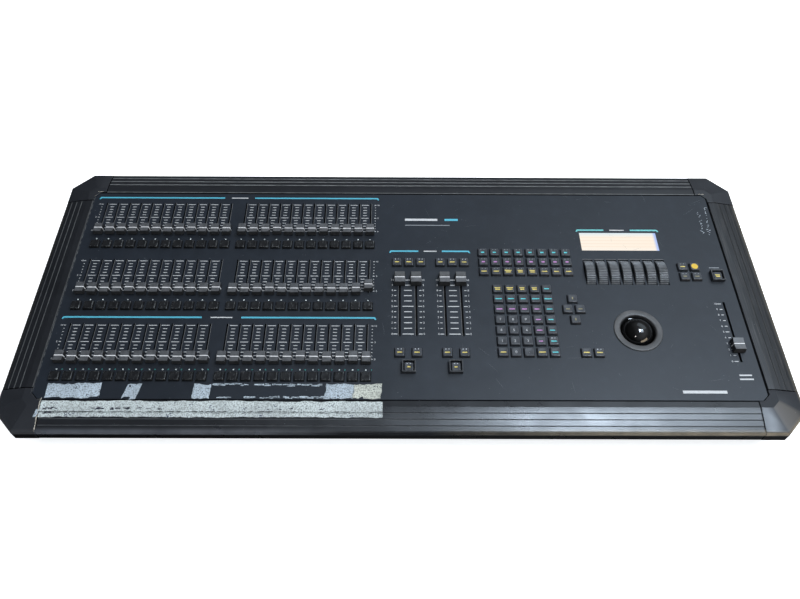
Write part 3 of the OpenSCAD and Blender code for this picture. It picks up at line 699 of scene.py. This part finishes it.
def legend(shape, box, marks, top_half, depth):
    """Printed marks on one key: each is (x, y, width, height, material), from the key's centre."""
    mid = middle(box)
    half = top_half - KEY_RIM
    for x, y, width, height, kind in marks:
        xs = [x - width / 2 + width * i / 4 for i in range(5)]
        for i in range(4):
            corners = [(xs[i], y - height / 2), (xs[i + 1], y - height / 2),
                       (xs[i + 1], y + height / 2), (xs[i], y + height / 2)]
            shape.add([(mid.x + a, mid.y + b, box[1].z - dish(a, b, half, depth) + FLOAT)
                       for a, b in corners], [(0, 1, 2, 3)], kind)


glyphs = {}


def glyph(text):
    """Outline of a number, one unit high, as points and faces."""
    if text not in glyphs:
        curve = bpy.data.curves.new("digits", "FONT")
        curve.body = text
        curve.align_x, curve.align_y = "CENTER", "CENTER"
        curve.resolution_u = 3
        obj = bpy.data.objects.new("digits", curve)
        bpy.context.scene.collection.objects.link(obj)
        ready = obj.evaluated_get(bpy.context.evaluated_depsgraph_get())
        mesh = bpy.data.meshes.new_from_object(ready)
        glyphs[text] = ([tuple(v.co) for v in mesh.vertices], [tuple(p.vertices) for p in mesh.polygons])
        bpy.data.objects.remove(obj)
        bpy.data.meshes.remove(mesh)
    return glyphs[text]


def number(shape, text, x, y, size, height=lambda x, y: TOP + FLOAT):
    """Prints a white number centred at x, y; height(x, y) gives the surface under each point."""
    points, faces = glyph(text)
    placed = [(x + size * p[0], y + size * p[1]) for p in points]
    shape.add([(a, b, height(a, b)) for a, b in placed], faces, WHITE)


LEGEND = ["print_white", "legend_cyan", "legend_magenta", "legend_yellow", "print_grey", "legend_dim",
          "legend_pale"]
WHITE, CYAN, MAGENTA, YELLOW, GREY, DIM, PALE_WORD = range(7)


def bars(colour, width, lines=1, small_above=False):
    """Plain bars in place of a printed word, in one or more lines."""
    gap = 3.0
    marks = []
    for i in range(lines):
        y = (lines - 1) * gap / 2 - i * gap
        shrink = 0.75 if i % 2 else 1.0
        marks.append((0.2 * i, y - 0.8, width * shrink, 1.8, colour))
    if small_above:
        marks.append((0, 4.5, 6.2, 1.2, PALE_WORD))
    return marks


def keyboard(body, marks, top_half=6.7, digits=()):
    """All the keys of one body with their printed marks, which ride with them."""
    shape, print_shape = Shape(), Shape()
    for i, (low, high) in enumerate(solids(body)):
        box = (low, high - SINK)
        mid = middle(box)
        key_cap(shape, *box, top_half, DISH)
        legend(print_shape, box, marks[i], top_half, DISH)
        if i in digits:
            number(print_shape, digits[i], mid.x, mid.y - 0.8, 6.0,
                   lambda a, b: box[1].z - dish(a - mid.x, b - mid.y, top_half - KEY_RIM, DISH) + FLOAT)
    piece(body + "_caps", shape, body, ["key_plastic", "key_skirt_shade", "key_rim_highlight"], [body],
          sharp=50)
    if print_shape.faces:
        piece(body + "_legends", print_shape, body, LEGEND)


def key_clusters():
    dice = random.Random(11)

    def word(colour, lines=1, small_above=False):
        return bars(colour, dice.uniform(8.2, 11.0), lines, small_above)

    function_marks = ([[(0, -0.9, 5.2, 2.4, CYAN)] for _ in range(8)]
                      + [[(0, -0.9, 5.2, 2.4, MAGENTA)] for _ in range(8)]
                      + [word(YELLOW, 2 if 2 <= i <= 4 else 1) for i in range(8)])
    small_word = [(0, 4.4, 6.4, 0.9, GREY)]
    keyboard("function_keys", [marks + small_word for marks in function_marks])
    keypad = [
        [word(YELLOW, 2) for _ in range(4)] + [word(CYAN)],
        [word(CYAN) for _ in range(5)],
        [word(MAGENTA) for _ in range(4)] + [word(CYAN)],
        [[], [], [], word(MAGENTA), word(CYAN)],
        [[], [], [], word(MAGENTA), word(CYAN)],
        [[], [], [], [(0, -0.9, 6.0, 1.6, MAGENTA)], word(CYAN, 1, True)],
        [word(YELLOW), [], [(0, -2.0, 1.0, 1.0, GREY)], word(YELLOW), word(CYAN)],
    ]
    digits = {15: "7", 16: "8", 17: "9", 20: "4", 21: "5", 22: "6", 25: "1", 26: "2", 27: "3", 31: "0"}
    keyboard("keypad_keys", [marks for row in keypad for marks in row], digits=digits)
    sideways = [(0, -0.9, 6.0, 1.6, DIM)]
    keyboard("arrow_keys", [[(0, 0.2, 1.8, 4.4, DIM)], sideways, sideways, [(0, -0.6, 1.8, 4.4, DIM)]])
    keyboard("page_keys", [word(YELLOW), word(YELLOW, 1, True)])
    keyboard("fader_keys", [bars(YELLOW, w, 1, True) for w in (7, 9, 7.4, 7, 9, 7.4)])
    keyboard("hold_keys", [bars(YELLOW, 8.2, 1, True) for _ in range(4)])
    keyboard("go_keys", [bars(YELLOW, 4.6, 1, True)] * 2, top_half=6.5)
    keyboard("blackout_key", [bars(YELLOW, 8.0, 2)], top_half=6.5)
    keyboard("status_keys", [bars(YELLOW, 8.4) + small_word, small_word,
                             bars(DIM, 5.6) + small_word, bars(DIM, 6.6) + small_word])
    dot, box = Shape(), solids("status_keys")[1]
    mid = middle(box)
    dot.add(circle((mid.x, mid.y - 0.4), 5.2, box[1].z - SINK.z + FLOAT, 32), [tuple(range(32))])
    piece("status_dot", dot, "status_keys", ["status_dot_yellow"])


def bump_keys():
    for body in ("upper_bump_keys", "middle_bump_keys", "lower_bump_keys"):
        shape = Shape()
        for low, high in solids(body):
            key_cap(shape, low, high, 6.6, 0.35)
        piece(body + "_caps", shape, body, ["bump_plastic", "key_skirt_shade", "bump_rim"], [body],
              sharp=50)


# --- Wheels, trackball, lamps and display ---

def encoder_wheels():
    for i in range(1, 8):
        node = f"encoder_wheel_{i}"
        low, high = box_mm(node)
        mid, radius, half = (low + high) / 2, (high.z - low.z) / 2, (high.x - low.x) / 2
        rim, hub, web, bore, soft = radius - 5, 8, 2, 3.05, 0.8
        profile = [(bore, -half), (hub, -half), (hub, -web), (rim, -web), (rim, -half),
                   (radius - soft, -half), (radius, -half + soft), (radius, half - soft),
                   (radius - soft, half), (rim, half), (rim, web), (hub, web), (hub, half), (bore, half)]
        shape = Shape()
        turned(shape, profile, mid, 288, "X", ribs=72, rib_deep=0.7, rib_from=radius - 1)
        piece(node + "_tyre", shape, node, ["wheel_rubber", "wheel_crest_highlight"], [node], sharp=30)


def trackball():
    low, high = box_mm("trackball")
    mid, radius = (low + high) / 2, (high.z - low.z) / 2
    shape, bands, around = Shape(), 48, 96
    tilts = [math.pi * band / bands for band in range(1, bands)]
    rings = [circle(mid, radius * math.sin(tilt), mid.z - radius * math.cos(tilt), around)
             for tilt in tilts]
    shape.loft(rings, first_cap=True, last_cap=True)
    piece("trackball_sphere", shape, "trackball", ["ball_resin"], ["trackball"], sharp=80)
    low, high = box_mm("trackball_bezel")
    mid, outer = (low + high) / 2, (high.x - low.x) / 2
    inner, skirt, top = 26.5, 29.8, high.z
    profile = [(inner, low.z), (skirt, low.z), (skirt, TOP), (outer, TOP), (outer, TOP + 0.5),
               (outer - 0.35, top - 0.4), (outer - 0.9, top - 0.08), (outer - 1.6, top),
               (inner + 2.6, top - 0.15), (inner + 1.5, top - 0.35), (inner + 0.6, top - 0.9),
               (inner + 0.15, top - 1.7), (inner, top - 2.6)]
    ring = Shape()
    turned(ring, profile, (mid.x, mid.y, 0), 144)
    piece("trackball_ring", ring, "root", ["bezel_plastic"], ["trackball_bezel"], sharp=40)


def lamps():
    """The channels' lamps. Every second one in the front row is teal."""
    boxes = solids("indicator_leds")
    lowest = min(b[0].y for b in boxes)
    front_row = [b for b in boxes if b[0].y < lowest + 5]
    teal = {id(b) for b in front_row[1::2]}
    white_lens, teal_lens, rim = range(3)
    shape = Shape()
    for box in boxes:
        mid, radius, top = middle(box), (box[1].x - box[0].x) / 2, box[1].z
        rings = [circle(mid, radius * share, z, 16)
                 for share, z in ((1.0, box[0].z), (1.0, top - 0.3), (0.8, top - 0.05), (0.4, top))]
        shape.loft(rings, [rim, rim, teal_lens if id(box) in teal else white_lens],
                   first_cap=True, last_cap=True)
    piece("indicator_lenses", shape, "root", ["led_lens", "led_lens_teal", "led_rim"],
          ["indicator_leds"])


def display():
    low, high = box_mm("display_window")
    shape = Shape()
    shape.block(low, high)
    piece("display_screen", shape, "root", ["display_glass"], ["display_window"], bevel=0.2)


# --- Printing on the panel, and painted highlights along its slot edges ---

# Materials for the panel's print, and for the painted highlight along slot edges.
PRINT_AND_HIGHLIGHT = ["print_white", "print_turquoise", "print_grey", "slot_edge_highlight", "print_teal", "dark_smudge"]
P_WHITE, P_TURQUOISE, P_GREY, P_EDGE_HIGHLIGHT, P_TEAL, P_BLACK = range(6)
MARK_T = 1.05
HEADER_T = 3.0


def mark(shape, x, y, length, thick=MARK_T, kind=P_WHITE):
    shape.flat(x - length / 2, y - thick / 2, x + length / 2, y + thick / 2, TOP + FLOAT, kind)


def header(shape, left, right, y, gap_from, gap_to, kind=P_TURQUOISE):
    """A header line in two halves, whose outer ends hook down, with a plain bar for its word between
    gap_from and gap_to."""
    half = HEADER_T / 2
    for x, inner, side in ((left, gap_from, -1), (right, gap_to, 1)):
        points = [(inner, y - half), (inner, y + half), (x - side * 1.6, y + half),
                  (x, y + half - 0.8), (x + side * 1.6, y - half - 1.8), (x - side * 0.5, y - half - 2.3),
                  (x - side * 2.0, y - half)]
        face = tuple(range(7)) if side < 0 else tuple(reversed(range(7)))
        shape.add([(a, b, TOP + FLOAT) for a, b in points], [face], kind)
    word = (gap_from + gap_to) / 2
    mark(shape, word, y, (gap_to - gap_from) * 0.55, 1.9)


def rows_of_faders():
    """The three rows of channel faders as lists of (x, y of 0, y of 10)."""
    rows = []
    for names in (SMALL_BANKS[0:2], SMALL_BANKS[2:5], SMALL_BANKS[5:7]):
        row = []
        for body in names:
            first, last = travel[body]
            row += [(middle(b).x, middle(b).y + first, middle(b).y + last) for b in solids(body)]
        zero = sorted(at[1] for at in row)[len(row) // 2]
        ten = sorted(at[2] for at in row)[len(row) // 2]
        rows.append([(x, zero, ten) for x, _, _ in sorted(row)])
    return rows


def panel_print():
    shape = Shape()
    rows = rows_of_faders()
    for row in rows:
        for i, (x, zero, ten) in enumerate(row):
            step = (ten - zero) / 10
            if i not in (11, 23):
                centre = (x + row[i + 1][0]) / 2
                for n in range(11):
                    mark(shape, centre, zero + n * step, 12 if n % 5 == 0 else 6)
            if i in (0, 23):
                side = -1 if i == 0 else 1
                for n in range(11):
                    mark(shape, x + side * 7.8, zero + n * step, 3.2 if n % 5 == 0 else 1.6)
                for n in (0, 5, 10):
                    number(shape, str(n), x + side * 12.4, zero + n * step, 4.2)
            # Painted highlight: a thin grey line along the right edge of each fader slot.
            shape.flat(x + 1.2, zero - 3, x + 1.9, ten + 3, TOP + FLOAT, P_EDGE_HIGHLIGHT)
    for i in range(1, 8):
        wheel = middle(box_mm(f"encoder_wheel_{i}"))
        # Painted highlight along the rear edge of each wheel's slot.
        shape.flat(wheel.x - 8, wheel.y + 25.2, wheel.x + 8, wheel.y + 26.2, TOP + FLOAT, P_EDGE_HIGHLIGHT)
    left, right = rows[0][0][0], rows[0][23][0]
    split = (rows[0][11][0] + rows[0][12][0]) / 2
    header(shape, left - 14.5, right + 12, rows[0][0][2] + 15.2, split - 26, split + 25)
    header(shape, left - 14.5, right + 12, rows[2][0][2] + 14.6, split - 28, split + 31.5)
    cross_print(shape)
    display_low, display_high = box_mm("display_window")
    header(shape, display_low.x - 3.8, display_high.x + 4.4, display_high.y + 5.6,
           display_low.x + 41, display_high.x - 41, P_TEAL)
    generic_marks(shape)
    piece("panel_print", shape, "root", PRINT_AND_HIGHLIGHT)


def cross_print(shape):
    """Scales of the big faders, and the header over the fader keys."""
    fader_keys = [middle(b) for b in solids("fader_keys")]
    y = fader_keys[0].y + 24
    centre = (fader_keys[2].x + fader_keys[3].x) / 2
    header(shape, fader_keys[0].x - 11, fader_keys[5].x + 9.5, y, centre - 19, centre + 19)
    faders = []
    for body in BIG_FADERS:
        mid = middle(box_mm(body))
        faders.append((mid.x, mid.y + travel[body][0], mid.y + travel[body][1]))
    for a, b in ((faders[0], faders[1]), (faders[2], faders[3])):
        x, step = (a[0] + b[0]) / 2, (a[2] - a[1]) / 10
        for n in range(11):
            level = a[1] + n * step
            mark(shape, x, level, 17 if n % 5 == 0 else 12, 1.4)
            off, length = (6.3, 5.8) if n % 5 == 0 else (6.9, 3.4)
            mark(shape, a[0] - off, level, length, 1.2)
            mark(shape, b[0] + off - 0.2, level, length, 1.2)
            number(shape, str(n), a[0] - 11.4, level, 4.8)
            number(shape, str(n), b[0] + 11.2, level, 4.8)
        for at in (a, b):
            # Painted highlight along the left edge of each big fader's slot.
            shape.flat(at[0] - 2.1, at[1] - 3, at[0] - 1.5, at[2] + 3, TOP + FLOAT, P_EDGE_HIGHLIGHT)
    x, zero, ten = faders[4]
    for n in range(11):
        level = ten - (10 - n) * (ten - zero) / 10 * 1.02
        mark(shape, x - 6.8 if n % 5 else x - 7.3, level, 4 if n % 5 else 6, 1.2)
        number(shape, str(n), x - 13, level, 4.6)


def generic_marks(shape):
    """Plain bars where the original carries words and marks, none of them lettering."""
    crosses = [middle(box_mm(b)) for b in BIG_FADERS]
    centre, rear = (crosses[1].x + crosses[2].x) / 2, crosses[0].y + 126
    mark(shape, centre - 12, rear, 54, 4.6)
    mark(shape, centre + 38, rear, 22, 4.6, P_TURQUOISE)
    mark(shape, centre - 2, rear - 12, 74, 1.5, P_GREY)
    grand = crosses[4]
    for drop, width in ((46, 18), (52.5, 20)):
        mark(shape, grand.x, grand.y - drop + travel["grand_master_fader"][0] + 21, width, 2.4)
    mark(shape, grand.x - 65, grand.y - 75, 63, 4.6)
    blackout = middle(box_mm("blackout_key"))
    mark(shape, blackout.x, blackout.y + 18, 16, 1.5, P_GREY)
    dot = (middle(solids("status_keys")[2]).x + 7, middle(solids("status_keys")[2]).y - 20)
    shape.flat(dot[0] - 1.2, dot[1] - 0.8, dot[0] + 1.2, dot[1] + 0.8, TOP + FLOAT, P_BLACK)


# --- Wear: old tape, scuffs and chips ---

def surface_under(names):
    """Heights of some CAD nodes' upper surfaces, found by looking straight down on them."""
    trees = []
    for name in names:
        mesh = nodes[name].data
        trees.append(BVHTree.FromPolygons([v.co / MM for v in mesh.vertices],
                                          [tuple(p.vertices) for p in mesh.polygons]))

    def height(x, y):
        hits = [tree.ray_cast(Vector((x, y, 200)), Vector((0, 0, -1)))[0] for tree in trees]
        return max([h.z for h in hits if h is not None], default=TOP)
    return height


def ragged(dice, start, end, step, jitter):
    """Points from start to end whose sideways offset wanders: (along, offset)."""
    count = max(2, round(abs(end - start) / step))
    drift, out = 0.0, []
    for i in range(count + 1):
        drift = 0.6 * drift + dice.uniform(-jitter, jitter)
        out.append((start + (end - start) * i / count, drift))
    return out


def patch(shape, height, x0, y0, x1, y1, dice, jitter=0.8, lean=0.0, rows=6, kind=0, thick=0.12):
    """A thin ragged patch lying on the surface. lean moves its rear edge sideways."""
    lower = ragged(dice, x0, x1, 4, jitter)
    upper = ragged(dice, x0, x1, 4, jitter)
    left, right = dice.uniform(-jitter, jitter), dice.uniform(-jitter, jitter)
    rings = []
    for r in range(rows + 1):
        share = r / rows
        ring = []
        for (x, low), (_, high) in zip(lower, upper):
            y = (y0 + low) * (1 - share) + (y1 + high) * share
            wave = (left * (1 - share) + right * share) * math.sin(9 * share)
            px = x + lean * share + wave
            ring.append((px, y, height(px, y) + thick))
        rings.append(ring)
    shape.loft(rings, kind, around=False)


SMUDGE_T = 0.18


def old_tape():
    """Ragged patches behind the panel's front edge, one long strip on the rail, and dark smudges."""
    height = surface_under(["front_rail", "corner_front_left", "top_panel"])
    dice = random.Random(5)
    short, long_strip, dark = Shape(), Shape(), Shape()
    start, front = middle(solids("lower_bump_keys")[0]).x + 2.5, PANEL_LOW.y
    rail = front - 3.2
    for x0, x1, lean, kind in ((-8, 68, 0, 0), (100, 120, 5, 0), (198.5, 223, 0, 0), (385, 425, 2, 0),
                               (424, 464, 2, 1)):
        patch(short, height, start + x0, front + 0.9, start + x1, front + 24, dice, 1.3, lean, kind=kind)
    for _ in range(70):
        x = start + dice.uniform(225, 384)
        y = front + dice.choice((1.5, 2.5, 21.5, 22.5)) + dice.uniform(-1, 1)
        patch(short, height, x, y, x + dice.uniform(3, 15), y + dice.uniform(0.8, 2.4), dice, 0.5, rows=2)
    patch(long_strip, height, start - 10, rail - 23.5, start + 467, rail, dice, 0.7, rows=22)
    patch(short, height, start - 17, rail - 24, start - 12.5, rail - 13, dice, 0.8, 3, rows=4)
    patch(dark, height, start - 3, rail - 20, start + 7, rail - 15, dice, 1.5, rows=3, thick=SMUDGE_T)
    patch(dark, height, start + 107, front + 19, start + 110, front + 21.5, dice, 0.4, rows=2,
          thick=SMUDGE_T)
    for _ in range(44):
        x = start + dice.choice((dice.uniform(-6, 12), dice.uniform(60, 112), dice.uniform(60, 165),
                                 dice.uniform(240, 430)))
        y = rail - 12 + dice.uniform(-1.2, 1.2)
        patch(dark, height, x, y, x + dice.uniform(1.5, 7), y + dice.uniform(0.7, 1.8), dice, 0.4, rows=1,
              thick=SMUDGE_T)
    piece("tape_patches", short, "root", ["tape_residue", "tape_residue_cream"])
    piece("tape_strip", long_strip, "root", ["tape_residue_long"])
    piece("tape_smudges", dark, "root", ["dark_smudge"])


CHIP_T = 0.06


def scuffs():
    """Two columns of pen strokes and fine scratches on the panel, and chips along the castings'
    seams."""
    height = surface_under(["top_panel", "front_rail", "corner_front_left", "corner_front_right",
                            "corner_rear_left", "corner_rear_right"])
    dice = random.Random(29)
    strokes, scratches, chips = Shape(), Shape(), Shape()
    for i in range(26):
        for x, y in ((500.5 - i * 0.1, 155.5 - i * 1.9), (512 - i * 0.12, 167 - i * 2.4)):
            if dice.random() < 0.75:
                scratch(strokes, height, x + dice.uniform(-2.5, 2.5), y, dice.uniform(0, math.pi),
                        dice.uniform(1.5, 4.5), dice.uniform(0.8, 1.3), dice)
    piece("panel_scribble", strokes, "root", ["scribble"])
    for _ in range(60):
        x, y = dice.uniform(-30, 505), dice.uniform(-190, 190)
        scratch(scratches, height, x, y, dice.uniform(0, math.pi), dice.uniform(4, 26), 0.12, dice)
    piece("panel_scratches", scratches, "root", ["scuff"])
    low, high = box_mm("corner_front_left")
    for i in range(40):
        y = low.y + 2 + i * 1.2 + dice.uniform(-0.6, 0.6)
        x = high.x - dice.uniform(0.6, 1.5)
        patch(chips, height, x, y, high.x, y + dice.uniform(0.8, 2.6), dice, 0.2, rows=1, thick=CHIP_T)
    y = PANEL_HIGH.y + 1.0
    for node, side in (("corner_rear_right", -1), ("corner_rear_left", 1)):
        low, high = box_mm(node)
        inner = low.x + 3 if side < 0 else high.x - 3
        for i in range(9):
            x = inner - side * (2 + i * 1.1)
            patch(chips, height, x, y, x + dice.uniform(0.8, 1.6), y + dice.uniform(0.4, 1.1), dice, 0.2,
                  rows=1, thick=CHIP_T)
    piece("casting_chips", chips, "root", ["bare_chip"])


def scratch(shape, height, x, y, angle, length, width, dice):
    """One thin bent line on the surface."""
    steps, rings, bend = 5, [], dice.uniform(-0.06, 0.06)
    for i in range(steps + 1):
        share = i / steps
        half = width / 2 * (1 - abs(2 * share - 1)) + 0.03
        nx, ny = -math.sin(angle), math.cos(angle)
        rings.append([(x + side * half * nx, y + side * half * ny,
                       height(x, y) + FLOAT) for side in (-1, 1)])
        x += math.cos(angle) * length / steps
        y += math.sin(angle) * length / steps
        angle += bend
    shape.loft(rings, around=False)


# --- CAD nodes that keep their shape ---

def dress_cad():
    dress("top_panel", "panel_paint")
    dress("base_pan", "pan_paint", "pan_edge")
    dress("key_guards", "guard_plastic", "rail_edge", 0.4)
    for node in nodes:
        if node.endswith("_rail"):
            dress(node, "rail_paint_" + node.split("_")[0], "rail_edge", 0.25)
        elif node.startswith("corner_"):
            dress(node, "casting_paint", "casting_edge")
        elif node.endswith("_pots"):
            dress(node, "pot_cover")
    for node, paint in (("display_module", "module_case"), ("trackball_housing", "housing_plastic"),
                        ("key_switches", "switch_plastic"), ("circuit_boards", "board_resin"),
                        ("wheel_bracket", "bracket_steel"), ("power_supply", "supply_case"),
                        ("connector_panel", "connector_paint"), ("rubber_feet", "foot_rubber"),
                        ("pan_screws", "screw_steel"), ("trackball_roller", "roller_steel")):
        dress(node, paint)


# --- Floor, lights and camera ---

def light(name, size, place, aim, power, colour, diffuse=True, glossy=True):
    data = bpy.data.lights.new(name, "AREA")
    data.shape, data.size, data.size_y = "RECTANGLE", *size
    data.energy, data.color = power, colour
    obj = bpy.data.objects.new(name, data)
    obj.location = place
    obj.rotation_euler = (Vector(aim) - Vector(place)).to_track_quat("-Z", "Y").to_euler()
    obj.visible_camera, obj.visible_diffuse, obj.visible_glossy = False, diffuse, glossy
    bpy.context.scene.collection.objects.link(obj)


def studio():
    """A pale floor, soft area lights, and a sky that is brighter to the right and overhead."""
    floor_mesh = bpy.data.meshes.new("studio_floor")
    far = 9
    floor_mesh.from_pydata([(-far, -far, 0), (far, -far, 0), (far, far, 0), (-far, far, 0)], [],
                           [(0, 1, 2, 3)])
    f = Finish("floor_white", (0.86, 0.86, 0.86), 0.8)
    f.set("Base Color", f.mix(f.noise(3), (0.85, 0.85, 0.85), (0.88, 0.88, 0.88)))
    f.set("Emission Color", (0.96, 0.98, 1.0, 1))
    f.set("Emission Strength", 0.85)
    floor_mesh.materials.append(f.material)
    floor = bpy.data.objects.new("studio_floor", floor_mesh)
    bpy.context.scene.collection.objects.link(floor)
    floor.visible_glossy = False
    light("key_light", (2.4, 1.5), (1.5, 1.5, 2.1), (0.15, 0, 0.08), 60, (0.92, 0.96, 1.0), glossy=False)
    light("panel_sheen", (2.4, 1.5), (1.6, 1.5, 2.1), (0.3, 0, 0.08), 7, (0.7, 0.87, 1.0), diffuse=False)
    light("overhead_light", (2.6, 0.7), (0.1, -0.9, 2.6), (0, 0, 0.08), 30, (0.95, 0.97, 1.0), glossy=False)
    light("rail_sheen", (0.8, 0.45), (0.92, -0.12, 2.7), (0.24, -0.2, 0.08), 60, (0.72, 0.85, 1.0),
          diffuse=False)
    light("rail_sheen_far", (1.0, 0.45), (1.75, -0.12, 2.7), (0.4, -0.2, 0.08), 12, (0.72, 0.85, 1.0),
          diffuse=False)
    light("window_light", (0.35, 1.2), (1.1, 0.1, 2.6), (0.355, -0.1, 0.08), 16, (0.75, 0.87, 1.0),
          diffuse=False)
    light("small_lamp", (0.25, 0.25), (-0.55, -1.75, 2.0), (0.355, -0.08, 0.08), 4, (1.0, 0.98, 0.95),
          diffuse=False)
    light("front_bounce", (1.6, 0.5), (1.6, -1.6, 0.5), (0.4, -0.2, 0.08), 9, (1.0, 0.82, 0.6),
          diffuse=False)
    light("rear_fill", (2.0, 0.8), (0, 2.6, 0.9), (0, 0.2, 0.05), 22, (1.0, 0.98, 0.95), glossy=False)
    world = bpy.data.worlds.new("studio")
    world.use_nodes = True
    sky = Graph(world.node_tree, "Generated")
    across = sky.spread(sky.axis("X"), -0.5, 0.5, 0.06, 0.5)
    rise = sky.spread(sky.axis("Z"), 0.3, 0.7, 0.2, 1.0)
    sky.feed(sky.nodes["Background"], "Color", (0.88, 0.94, 1.0, 1))
    sky.feed(sky.nodes["Background"], "Strength", sky.times(across, rise))
    bpy.context.scene.world = world
    bpy.context.scene.view_settings.view_transform = "Standard"


def camera():
    """The photograph's view: above the front edge, looking down over the desk."""
    data = bpy.data.cameras.new("camera")
    data.sensor_width, data.lens = 36, 32.99
    data.clip_start, data.clip_end = 0.05, 50
    data.shift_x, data.shift_y = -0.001, 0.0008
    obj = bpy.data.objects.new("camera", data)
    obj.location = (-0.00678, -0.67196, TOP * MM + 0.9241)
    obj.rotation_euler = [math.radians(a) for a in (34.9635, -0.369, -0.006)]
    bpy.context.scene.collection.objects.link(obj)
    bpy.context.scene.camera = obj


camera()
dress_cad()
fader_caps()
key_clusters()
bump_keys()
encoder_wheels()
trackball()
lamps()
display()
panel_print()
old_tape()
scuffs()
studio()
